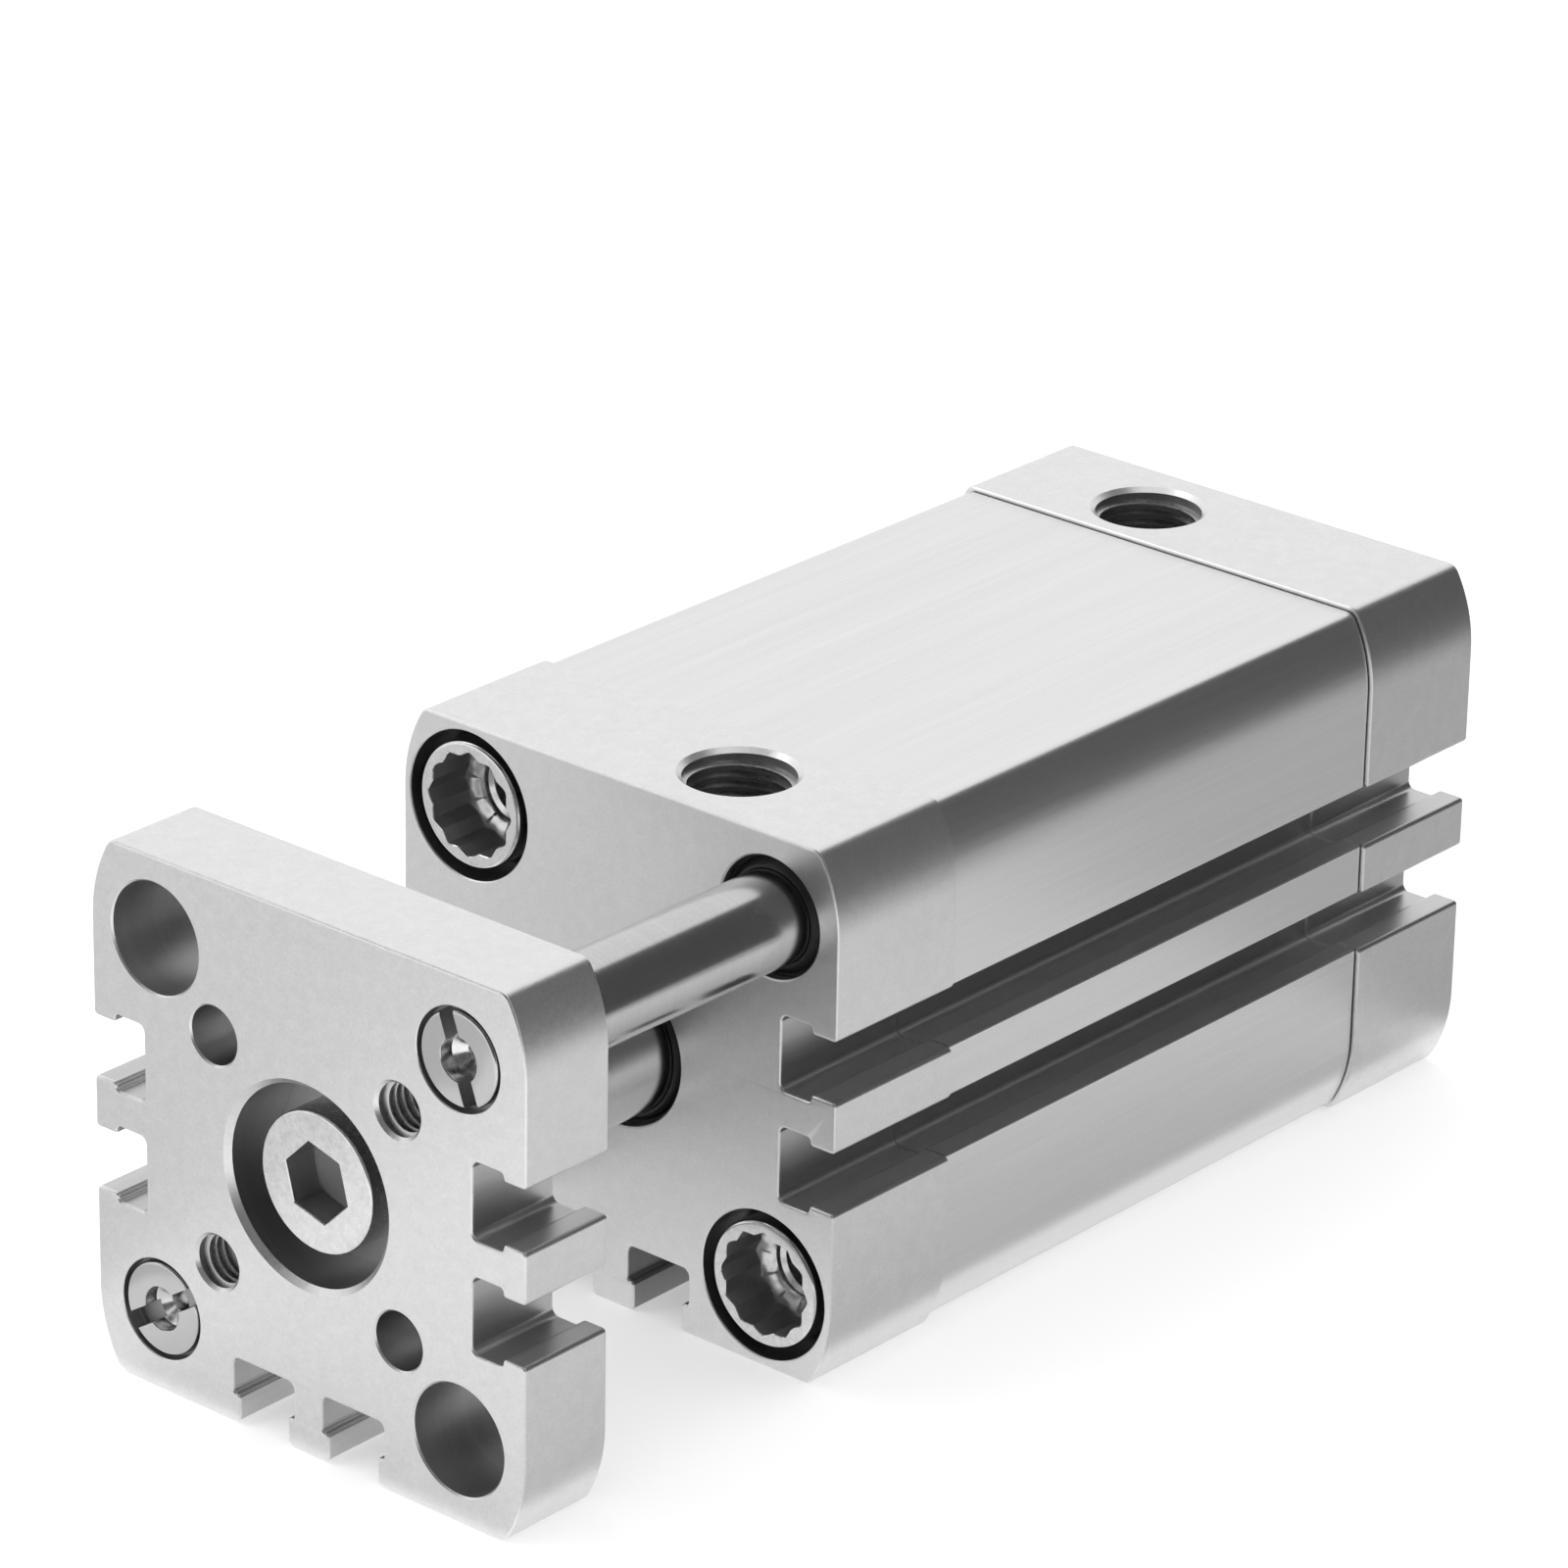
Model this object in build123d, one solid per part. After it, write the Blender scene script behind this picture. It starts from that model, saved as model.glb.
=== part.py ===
from build123d import *
import math
import os

# Guided pneumatic cylinder, bore 32, stroke 40, all sizes in millimetres.
# The origin is the centre of the rear mounting face, on the piston axis.
# +Z is up, with the air ports on top. The yoke plate moves out along -Y.

# Driving sizes of the cylinder
bore_radius = 16.0
stroke = 40.0
rest_extension = 20.5
retracted_gap = 6.0
piston_length = 10.5
end_gap = 0.05

# Blocks along the axis
end_cap_length = 14.5
bearing_cap_length = 14.5
yoke_thickness = 9.3
spigot_length = 1.8
spigot_clearance = 0.05

# Profile that the caps, the barrel and the yoke plate are cut to
wall_beyond_bore = 7.5
barrel_inset = 0.4
yoke_inset = 0.2
corner_radius = 13.1
corner_rise = 7.3
bend_radius = 1.2

# T-slots for sensors, two each on the right, left and lower faces; the bearing cap has none on its left
slot_offset = 4.9
slot_mouth_width = 5.3
slot_undercut = 0.68
slot_depth = 5.8
slot_head_depth = 3.2
slot_floor_radius = 0.65
slot_corner_radius = 0.3
slot_mouth_radius = 0.5

# Four corner axes on the square mounting pattern
corner_inset = 7.25
channel_radius = 4.5
channel_clearance = 0.03

# Collar screws with a 12-point socket and a female thread
screw_recess = 0.1
screw_head_radius = 5.5
screw_head_height = 6.9
screw_head_chamfer = 0.2
screw_point = 0.7
screw_collar_height = 1.4
screw_collar_clearance = 0.2
screw_seat_wall = 0.75
screw_hole_radius = 4.9
screw_engagement = 9.5
socket_across_flats = 8.0
socket_depth = 5.4
female_thread_radius = 2.5
female_thread_depth = 11.3
thread_countersink = 0.8

# Rear face: two tapped holes beside the two screws, and a locating bore
tapped_hole_depth = 11.5
locating_bore_radius = 4.5
locating_bore_depth = 2.1

# Air ports on the top face, one near each end
port_thread_radius = 4.285
port_offset_x = 6.3
port_from_end = 7.7
port_depth = 12.0
port_chamfer = 0.8
passage_radius = 1.0
passage_above_floor = 0.4

# Rods
rod_radius = 6.0
guide_rod_radius = 4.0
guide_rod_overlap = 3.0
running_clearance = 0.03
seal_clearance = 0.05
seat_clearance = 0.02
rod_chamfer = 0.6

# Plain bushes and wipers in the bearing cap
bush_wall = 1.0
bush_end_gap = 0.5
wiper_mouth_step = 1.1
wiper_groove_step = 2.8
wiper_groove_start = 1.0
wiper_groove_width = 3.0
guide_mouth_step = 1.2
guide_groove_step = 2.1
guide_groove_start = 0.9
guide_groove_width = 2.5
wiper_lip_thickness = 0.35
wiper_lip_recess = 0.35

# Seal rings between the caps and the barrel
cap_seal_groove_depth = 0.95
cap_seal_groove_width = 1.1
cap_seal_clearance = 0.02
seal_bevel = 0.5

# Elastic end-stop rings in the caps
cushion_inner_radius = 8.0
cushion_outer_radius = 10.85
cushion_pocket_depth = 2.4
cushion_stand_out = 0.4
cushion_clearance = 0.05

# Piston
piston_clearance = 0.3
magnet_width = 2.6
magnet_thickness = 2.75
guide_ring_thickness = 2.7
piston_seat_clearance = 0.05
piston_seal_width = 1.9
piston_seal_depth = 2.5
rod_seat_depth = 1.5
piston_screw_radius = 3.0
piston_screw_head_radius = 5.4
piston_screw_head_height = 1.9
piston_screw_engagement = 11.0
piston_screw_hex = 4.0
static_seal_radius = 4.6
static_seal_section = 0.5

# Yoke plate
counterbore_radius = 8.5
counterbore_chamfer = 0.5
yoke_screw_head_radius = 6.0
yoke_screw_head_height = 5.1
yoke_screw_head_chamfer = 0.25
yoke_screw_recess = 1.2
yoke_screw_point = 0.65
yoke_screw_radius = 4.0
yoke_screw_hole_clearance = 0.25
yoke_screw_engagement = 15.0
yoke_screw_hex = 6.0
yoke_screw_hex_depth = 3.0
yoke_screw_hex_turn = 45.0
access_hole_radius = 4.75
inner_circle_radius = 14.0
dowel_hole_radius = 2.5
yoke_thread_radius = 2.1
yoke_thread_chamfer = 0.7
guide_end_recess = 0.05
guide_end_chamfer = 0.3
guide_relief_radius = 4.35
guide_relief_depth = 1.2
thread_clearance = 0.02

# Slot and centre hole in the front end of each guide rod
driver_slot_width = 1.5
driver_slot_depth = 1.5
upper_slot_angle = -70.0
lower_slot_angle = 33.0
centre_hole_radius = 1.9
centre_hole_depth = 1.2
centre_pilot_radius = 0.9
centre_cone_depth = 0.8
centre_pilot_depth = 2.4

# Worked out from the sizes above
cap_half_width = bore_radius + wall_beyond_bore
corner_centre_x = cap_half_width - corner_radius
corner_centre_z = cap_half_width - corner_rise
corner = cap_half_width - corner_inset
screw_seat_radius = corner_inset - screw_seat_wall
screw_collar_radius = screw_seat_radius - screw_collar_clearance
slot_floor = cap_half_width - slot_depth
magnet_outer_radius = bore_radius - seal_clearance - guide_ring_thickness - piston_seat_clearance
magnet_inner_radius = magnet_outer_radius - magnet_thickness
barrel_length = stroke + piston_length + 2 * (spigot_length + cushion_stand_out + end_gap)
rear_seam = -end_cap_length
front_seam = rear_seam - barrel_length
front_face = front_seam - bearing_cap_length
yoke_back = front_face - retracted_gap - rest_extension
yoke_front = yoke_back - yoke_thickness
rear_spigot_face = rear_seam - spigot_length
front_spigot_face = front_seam + spigot_length
piston_rear = rear_spigot_face - cushion_stand_out - end_gap - rest_extension
piston_front = piston_rear - piston_length
inner_hole = inner_circle_radius * math.sqrt(0.5)
UPPER_RIGHT = (corner, corner)
UPPER_LEFT = (-corner, corner)
LOWER_RIGHT = (corner, -corner)
LOWER_LEFT = (-corner, -corner)
RIGHT_FACE = 0
LOWER_FACE = -90
LEFT_FACE = 180
TINY = 0.01


def station(y):
    """Plane square to the axis at station y; what is extruded from it runs to -Y."""
    return Plane(origin=(0, y, 0), x_dir=(1, 0, 0), z_dir=(0, -1, 0))


def bar(radius, y_rear, y_front, place=(0, 0)):
    """Cylinder along Y between two stations, at (x, z)."""
    plane = Plane(origin=(place[0], y_rear, place[1]), x_dir=(1, 0, 0), z_dir=(0, -1, 0))
    return extrude(plane * Circle(radius), y_rear - y_front)


def turned(points, place=(0, 0)):
    """Solid turned about a line along Y, from (radius, y) points, at (x, z)."""
    face = make_face(Polyline(*points, close=True))
    return Pos(place[0], 0, place[1]) * revolve(face, Axis.Y)


def tube(inner, outer, y_rear, y_front, place=(0, 0)):
    """Plain ring between two stations, at (x, z)."""
    return bar(outer, y_rear, y_front, place) - bar(inner, y_rear, y_front, place)


def mouth_cone(radius, depth, y_mouth, inward, place=(0, 0)):
    """45 degree countersink of a hole whose mouth is at y_mouth; inward is +1 or -1."""
    start = y_mouth - inward * TINY
    end = y_mouth + inward * depth
    wide = radius + depth + TINY
    return turned([(0, start), (wide, start), (radius, end), (0, end)], place)


def plain_outline(half_width):
    """Square of the profile with the large arc at each of its corners."""
    arc_radius = half_width - corner_centre_x
    rise = half_width - corner_centre_z
    bend_x = corner_centre_x + math.sqrt(arc_radius**2 - rise**2)
    sweep = math.degrees(math.asin(rise / arc_radius))
    edges = []
    for side in (1, -1):
        edges.append(Line((side * half_width, -corner_centre_z), (side * half_width, corner_centre_z)))
        edges.append(Line((-bend_x, side * half_width), (bend_x, side * half_width)))
    starts = {(1, 1): 0, (-1, 1): 180 - sweep, (-1, -1): 180, (1, -1): -sweep}
    for (side, level), start in starts.items():
        centre = (side * corner_centre_x, level * corner_centre_z)
        edges.append(CenterArc(centre, arc_radius, start, sweep))
    outline = make_face(edges)
    bends = outline.vertices().filter_by(lambda v: abs(abs(v.Y) - half_width) < TINY)
    return fillet(bends, bend_radius)


def slot_cutter(half_width):
    """One T-slot in the +X face, at mid height and open past the face."""
    past_face = half_width + 1
    neck = Pos((slot_floor + past_face) / 2, 0) * Rectangle(past_face - slot_floor, slot_mouth_width)
    head_width = slot_mouth_width + 2 * slot_undercut
    head = Pos(slot_floor + slot_head_depth / 2, 0) * Rectangle(slot_head_depth, head_width)
    shape = head + neck
    floor_corners = shape.vertices().filter_by(lambda v: v.X < slot_floor + TINY)
    shape = fillet(floor_corners, slot_floor_radius)
    lip_level = slot_floor + slot_head_depth
    lip_corners = shape.vertices().filter_by(lambda v: abs(v.X - lip_level) < TINY)
    return fillet(lip_corners, min(slot_corner_radius, 0.4 * slot_undercut))


def on_slot_mouth(v, half_width):
    """True for the corners where a slot meets the right, left or lower face."""
    reach = slot_offset + slot_mouth_width / 2 + TINY
    on_side = abs(abs(v.X) - half_width) < TINY and abs(v.Y) < reach
    on_foot = abs(v.Y + half_width) < TINY and abs(v.X) < reach
    return on_side or on_foot


def profile(half_width, slotted_faces):
    """Whole cross-section, with two round-mouthed T-slots in each slotted face."""
    section = plain_outline(half_width)
    cutter = slot_cutter(half_width)
    for turn in slotted_faces:
        for side in (1, -1):
            section -= Rot(0, 0, turn) * Pos(0, side * slot_offset) * cutter
    mouths = section.vertices().filter_by(lambda v: on_slot_mouth(v, half_width))
    return fillet(mouths, slot_mouth_radius)


def block(half_width, y_rear, y_front, slotted_faces=(RIGHT_FACE, LOWER_FACE, LEFT_FACE)):
    """Length of the profile between two stations."""
    return extrude(station(y_rear) * profile(half_width, slotted_faces), y_rear - y_front)


def port_cut(x, y, inner_face):
    """Threaded port with its chamfer, and the drilled passage to the cylinder."""
    floor = cap_half_width - port_depth
    hole = Pos(x, y, cap_half_width - port_depth / 2) * Cylinder(port_thread_radius, port_depth)
    chamfer_top = port_thread_radius + port_chamfer
    cone = Pos(x, y, cap_half_width - port_chamfer / 2) * Cone(port_thread_radius, chamfer_top, port_chamfer)
    place = (x, floor + passage_above_floor)
    passage = bar(passage_radius, max(y, inner_face), min(y, inner_face), place)
    return hole + cone + passage


def spigot(y_seam, inward):
    """Locating spigot of a cap with its seal groove; inward is +1 or -1 along Y."""
    radius = bore_radius - spigot_clearance
    y_face = y_seam + inward * spigot_length
    middle = y_seam + inward * spigot_length / 2
    half_groove = cap_seal_groove_width / 2
    body = bar(radius, max(y_seam, y_face), min(y_seam, y_face))
    ring = tube(radius - cap_seal_groove_depth, radius + 1, middle + half_groove, middle - half_groove)
    return body - ring


def cushion_pocket(y_face, inward):
    """Pocket for the end-stop ring, open at the spigot face."""
    floor = y_face - inward * cushion_pocket_depth
    radius = cushion_outer_radius + cushion_clearance
    return bar(radius, max(y_face, floor), min(y_face, floor))


def screw_seat(y_face, y_seam, inward, place):
    """Counterbore and clearance hole of a collar screw."""
    seat = y_face + inward * (screw_recess + screw_head_height)
    counterbore = bar(screw_seat_radius, max(y_face, seat), min(y_face, seat), place)
    hole = bar(screw_hole_radius, max(y_face, y_seam), min(y_face, y_seam), place)
    return counterbore + hole


def rod_passage(radius, mouth_step, groove_start, groove_step, groove_width, place=(0, 0)):
    """Mouth, wiper groove and bush seat of a rod in the bearing cap."""
    mouth = radius + mouth_step
    groove_front = front_face + groove_start
    groove_rear = groove_front + groove_width
    seat = radius + running_clearance + bush_wall
    cut = bar(mouth, groove_front, front_face, place)
    cut += bar(radius + groove_step, groove_rear, groove_front, place)
    cut += bar(seat, front_seam + spigot_length, groove_rear, place)
    return cut


def make_bearing_cap():
    """Front block: rod and guide passages, two screw seats and the front port."""
    cap = block(cap_half_width, front_seam, front_face, (RIGHT_FACE, LOWER_FACE))
    cap += spigot(front_seam, 1)
    cap -= cushion_pocket(front_spigot_face, 1)
    cap -= rod_passage(rod_radius, wiper_mouth_step, wiper_groove_start, wiper_groove_step, wiper_groove_width)
    for place in (UPPER_RIGHT, LOWER_LEFT):
        cap -= rod_passage(guide_rod_radius, guide_mouth_step, guide_groove_start,
                           guide_groove_step, guide_groove_width, place)
    for place in (UPPER_LEFT, LOWER_RIGHT):
        cap -= screw_seat(front_face, front_seam, 1, place)
    cap -= port_cut(port_offset_x, front_face + port_from_end, front_spigot_face)
    return cap


def make_barrel():
    """Extruded tube with the cylinder bore and a channel in each corner."""
    barrel = block(cap_half_width - barrel_inset, rear_seam, front_seam)
    barrel -= bar(bore_radius, rear_seam, front_seam)
    for place in (UPPER_RIGHT, UPPER_LEFT, LOWER_RIGHT, LOWER_LEFT):
        barrel -= bar(channel_radius, rear_seam, front_seam, place)
    return barrel


def make_end_cap():
    """Rear block: rear port, two screw seats, two tapped holes and a locating bore."""
    cap = block(cap_half_width, 0, rear_seam)
    cap += spigot(rear_seam, -1)
    cap -= cushion_pocket(rear_spigot_face, -1)
    for place in (UPPER_RIGHT, LOWER_LEFT):
        cap -= screw_seat(0, rear_seam, -1, place)
    for place in (UPPER_LEFT, LOWER_RIGHT):
        cap -= bar(female_thread_radius, 0, -tapped_hole_depth, place)
        cap -= mouth_cone(female_thread_radius, thread_countersink, 0, -1, place)
    cap -= bar(locating_bore_radius, 0, -locating_bore_depth)
    cap -= port_cut(-port_offset_x, -port_from_end, rear_spigot_face)
    return cap


def collar_screw():
    """Collar screw with its head face at y = 0 and its shank along +Y."""
    shank = channel_radius - channel_clearance
    seat = screw_head_height
    collar_front = seat - screw_collar_height
    end = bearing_cap_length - screw_recess + screw_engagement
    body = turned([
        (0, 0),
        (screw_head_radius - screw_head_chamfer, 0),
        (screw_head_radius, screw_head_chamfer),
        (screw_head_radius, collar_front),
        (screw_collar_radius, collar_front),
        (screw_collar_radius, seat),
        (shank, seat),
        (shank, end - screw_point),
        (shank - screw_point, end),
        (0, end),
    ])
    hexagon = RegularPolygon(socket_across_flats / 2, 6, major_radius=False)
    star = hexagon + Rot(0, 0, 30) * hexagon
    body -= extrude(station(socket_depth) * star, socket_depth)
    body -= bar(female_thread_radius, socket_depth + female_thread_depth, socket_depth)
    body -= mouth_cone(female_thread_radius, thread_countersink, socket_depth, 1)
    return body


def make_front_collar_screws():
    """Two collar screws that hold the bearing cap to the barrel."""
    screw = collar_screw()
    y = front_face + screw_recess
    return [Pos(x, y, z) * screw for x, z in (UPPER_LEFT, LOWER_RIGHT)]


def make_rear_collar_screws():
    """Two collar screws that hold the end cap to the barrel."""
    screw = Rot(0, 0, 180) * collar_screw()
    return [Pos(x, -screw_recess, z) * screw for x, z in (UPPER_RIGHT, LOWER_LEFT)]


def make_bush(radius, groove_start, groove_width, y_rear, place=(0, 0)):
    """Plain bearing bush pressed in behind the wiper groove, up to station y_rear."""
    inner = radius + running_clearance
    outer = inner + bush_wall - seat_clearance
    y_front = front_face + groove_start + groove_width + TINY
    return tube(inner, outer, y_rear, y_front, place)


def make_wiper(radius, mouth_step, groove_start, groove_step, groove_width, place=(0, 0)):
    """Wiper ring held in its groove, with a thin lip that leans to the rod."""
    inner = radius + seal_clearance
    mouth = radius + mouth_step
    outer = radius + groove_step - seal_clearance
    front = front_face + groove_start + seal_clearance
    rear = front_face + groove_start + groove_width - seal_clearance
    lip = front_face + wiper_lip_recess
    return turned([
        (inner, lip),
        (inner + wiper_lip_thickness, lip),
        (mouth - wiper_lip_thickness, front),
        (outer, front),
        (outer, rear),
        (inner, rear),
    ], place)


def seal_ring(inner, outer, y_middle):
    """Rubber ring of square section with its four edges bevelled."""
    half = (outer - inner) / 2
    bevel = half * seal_bevel
    return turned([
        (inner, y_middle - half + bevel),
        (inner + bevel, y_middle - half),
        (outer - bevel, y_middle - half),
        (outer, y_middle - half + bevel),
        (outer, y_middle + half - bevel),
        (outer - bevel, y_middle + half),
        (inner + bevel, y_middle + half),
        (inner, y_middle + half - bevel),
    ])


def make_cap_seal(y_seam, inward):
    """Static seal in the groove of a cap's spigot, against the cylinder bore."""
    outer = bore_radius - cap_seal_clearance
    inner = bore_radius - spigot_clearance - cap_seal_groove_depth + cap_seal_clearance
    return seal_ring(inner, outer, y_seam + inward * spigot_length / 2)


def make_cushion(y_face, inward):
    """Elastic end-stop ring that stands a little out of its pocket."""
    floor = y_face - inward * cushion_pocket_depth
    top = y_face + inward * cushion_stand_out
    return tube(cushion_inner_radius, cushion_outer_radius, max(floor, top), min(floor, top))


def piston_disc(y_front, y_rear):
    """One flange of the piston, with the groove of its seal in the middle."""
    radius = bore_radius - piston_clearance
    middle = (y_front + y_rear) / 2
    half_seal = piston_seal_width / 2
    groove = tube(bore_radius - piston_seal_depth, radius + 1, middle + half_seal, middle - half_seal)
    return bar(radius, y_rear, y_front) - groove


def piston_bands():
    """Stations where the magnet band of the piston begins and ends."""
    disc_length = (piston_length - magnet_width) / 2
    return piston_front + disc_length, piston_rear - disc_length


def make_piston_front_half():
    """Front flange with the hub that carries the magnet, seated on the rod's end."""
    band_front, band_rear = piston_bands()
    half = piston_disc(piston_front, band_front)
    half += bar(magnet_inner_radius - piston_seat_clearance, band_rear, band_front)
    seat = piston_front + rod_seat_depth
    half -= bar(rod_radius + thread_clearance, seat, piston_front)
    half -= tube(static_seal_radius - static_seal_section - thread_clearance,
                 static_seal_radius + static_seal_section + thread_clearance,
                 seat + 2 * static_seal_section, seat)
    half -= bar(piston_screw_radius + thread_clearance, band_rear, seat)
    return half


def make_piston_rear_half():
    """Rear flange, recessed for the head of the piston screw."""
    band_rear = piston_bands()[1]
    half = piston_disc(band_rear, piston_rear)
    head_floor = piston_rear - piston_screw_head_height - piston_seat_clearance
    half -= bar(piston_screw_head_radius + piston_seat_clearance, piston_rear, head_floor)
    half -= bar(piston_screw_radius + thread_clearance, head_floor, band_rear)
    return half


def make_piston_seal(y_front, y_rear):
    """Rubber piston ring in its groove, with bevelled lips."""
    outer = bore_radius - seal_clearance
    inner = bore_radius - piston_seal_depth + piston_seat_clearance
    half_width = piston_seal_width / 2 - piston_seat_clearance
    middle = (y_front + y_rear) / 2
    bevel = piston_seal_width / 5
    return turned([
        (inner, middle - half_width),
        (outer - bevel, middle - half_width),
        (outer, middle - half_width + bevel),
        (outer, middle + half_width - bevel),
        (outer - bevel, middle + half_width),
        (inner, middle + half_width),
    ])


def make_piston_magnet():
    """Ring magnet that the sensors in the T-slots look for."""
    band_front, band_rear = piston_bands()
    gap = piston_seat_clearance / 2
    return tube(magnet_inner_radius, magnet_outer_radius, band_rear - gap, band_front + gap)


def make_piston_guide_ring():
    """Plastic guide band round the magnet, running in the bore."""
    band_front, band_rear = piston_bands()
    gap = piston_seat_clearance / 2
    outer = bore_radius - seal_clearance
    return tube(outer - guide_ring_thickness, outer, band_rear - gap, band_front + gap)


def make_piston_o_ring():
    """Static seal between the rod's end and the piston."""
    middle = piston_front + rod_seat_depth + static_seal_section
    inner = static_seal_radius - static_seal_section
    return seal_ring(inner, static_seal_radius + static_seal_section, middle)


def make_piston_screw():
    """Low screw that clamps both piston halves to the rod."""
    head_rear = piston_rear - piston_seat_clearance
    seat = head_rear - piston_screw_head_height
    end = piston_front + rod_seat_depth - piston_screw_engagement
    screw = bar(piston_screw_head_radius, head_rear, seat)
    screw += bar(piston_screw_radius, seat, end)
    hexagon = RegularPolygon(piston_screw_hex / 2, 6, major_radius=False)
    screw -= extrude(station(head_rear) * hexagon, piston_screw_head_height * 0.6)
    return screw


def make_piston_rod():
    """Piston rod with a tapped hole in each end."""
    rear = piston_front + rod_seat_depth
    bevel = rod_chamfer / 2
    rod = turned([
        (0, yoke_back),
        (rod_radius - bevel, yoke_back),
        (rod_radius, yoke_back + bevel),
        (rod_radius, rear - bevel),
        (rod_radius - bevel, rear),
        (0, rear),
    ])
    front_depth = yoke_screw_engagement + 2 * rod_chamfer
    rear_depth = piston_screw_engagement + 2 * rod_chamfer
    rod -= bar(yoke_screw_radius + thread_clearance, yoke_back + front_depth, yoke_back)
    rod -= bar(piston_screw_radius + thread_clearance, rear, rear - rear_depth)
    return rod


def make_guide_rod(place, slot_angle):
    """Guide rod screwed into the yoke plate, with a driver slot and a centre hole."""
    front = yoke_front + guide_end_recess
    reach = retracted_gap + bearing_cap_length + stroke + guide_rod_overlap
    tip = yoke_back + reach
    bevel = guide_end_chamfer
    rod = turned([
        (0, front),
        (guide_rod_radius - bevel, front),
        (guide_rod_radius, front + bevel),
        (guide_rod_radius, tip - rod_chamfer),
        (guide_rod_radius - rod_chamfer, tip),
        (0, tip),
    ])
    slot = Rectangle(2 * guide_rod_radius + 1, driver_slot_width)
    rod -= extrude(station(front + driver_slot_depth) * Rot(0, 0, slot_angle) * slot, driver_slot_depth + 1)
    cone_start = front + centre_hole_depth
    cone_end = cone_start + centre_cone_depth
    pilot_end = cone_end + centre_pilot_depth
    rod -= turned([
        (0, front - TINY),
        (centre_hole_radius, front - TINY),
        (centre_hole_radius, cone_start),
        (centre_pilot_radius, cone_end),
        (centre_pilot_radius, pilot_end),
        (0, pilot_end + centre_pilot_radius),
    ])
    return Pos(place[0], 0, place[1]) * rod


def make_yoke_plate():
    """Plate that joins the rods, with the holes for the tool it carries."""
    plate = block(cap_half_width - yoke_inset, yoke_back, yoke_front)
    screw_seat_y = yoke_front + yoke_screw_recess + yoke_screw_head_height
    plate -= bar(counterbore_radius, screw_seat_y, yoke_front)
    plate -= mouth_cone(counterbore_radius, counterbore_chamfer, yoke_front, 1)
    plate -= bar(yoke_screw_radius + yoke_screw_hole_clearance, yoke_back, yoke_front)
    for place in (UPPER_LEFT, LOWER_RIGHT):
        plate -= bar(access_hole_radius, yoke_back, yoke_front, place)
    for place in (UPPER_RIGHT, LOWER_LEFT):
        plate -= bar(guide_rod_radius + thread_clearance, yoke_back, yoke_front, place)
        plate -= bar(guide_relief_radius, yoke_front + guide_relief_depth, yoke_front, place)
    for place in ((-inner_hole, inner_hole), (inner_hole, -inner_hole)):
        plate -= bar(dowel_hole_radius, yoke_back, yoke_front, place)
    for place in ((inner_hole, inner_hole), (-inner_hole, -inner_hole)):
        plate -= bar(yoke_thread_radius, yoke_back, yoke_front, place)
        plate -= mouth_cone(yoke_thread_radius, yoke_thread_chamfer, yoke_front, 1, place)
    return plate


def make_yoke_screw():
    """Low-head socket screw from the plate into the piston rod."""
    top = yoke_front + yoke_screw_recess
    seat = top + yoke_screw_head_height
    end = yoke_back + yoke_screw_engagement
    bevel = yoke_screw_head_chamfer
    screw = turned([
        (0, top),
        (yoke_screw_head_radius - bevel, top),
        (yoke_screw_head_radius, top + bevel),
        (yoke_screw_head_radius, seat),
        (yoke_screw_radius, seat),
        (yoke_screw_radius, end - yoke_screw_point),
        (yoke_screw_radius - yoke_screw_point, end),
        (0, end),
    ])
    floor = top + yoke_screw_hex_depth
    hexagon = Rot(0, 0, yoke_screw_hex_turn) * RegularPolygon(yoke_screw_hex / 2, 6, major_radius=False)
    screw -= extrude(station(floor) * hexagon, yoke_screw_hex_depth)
    point_radius = yoke_screw_hex / 2 - TINY
    screw -= turned([(0, floor), (point_radius, floor), (0, floor + point_radius / 2)])
    return screw


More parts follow.
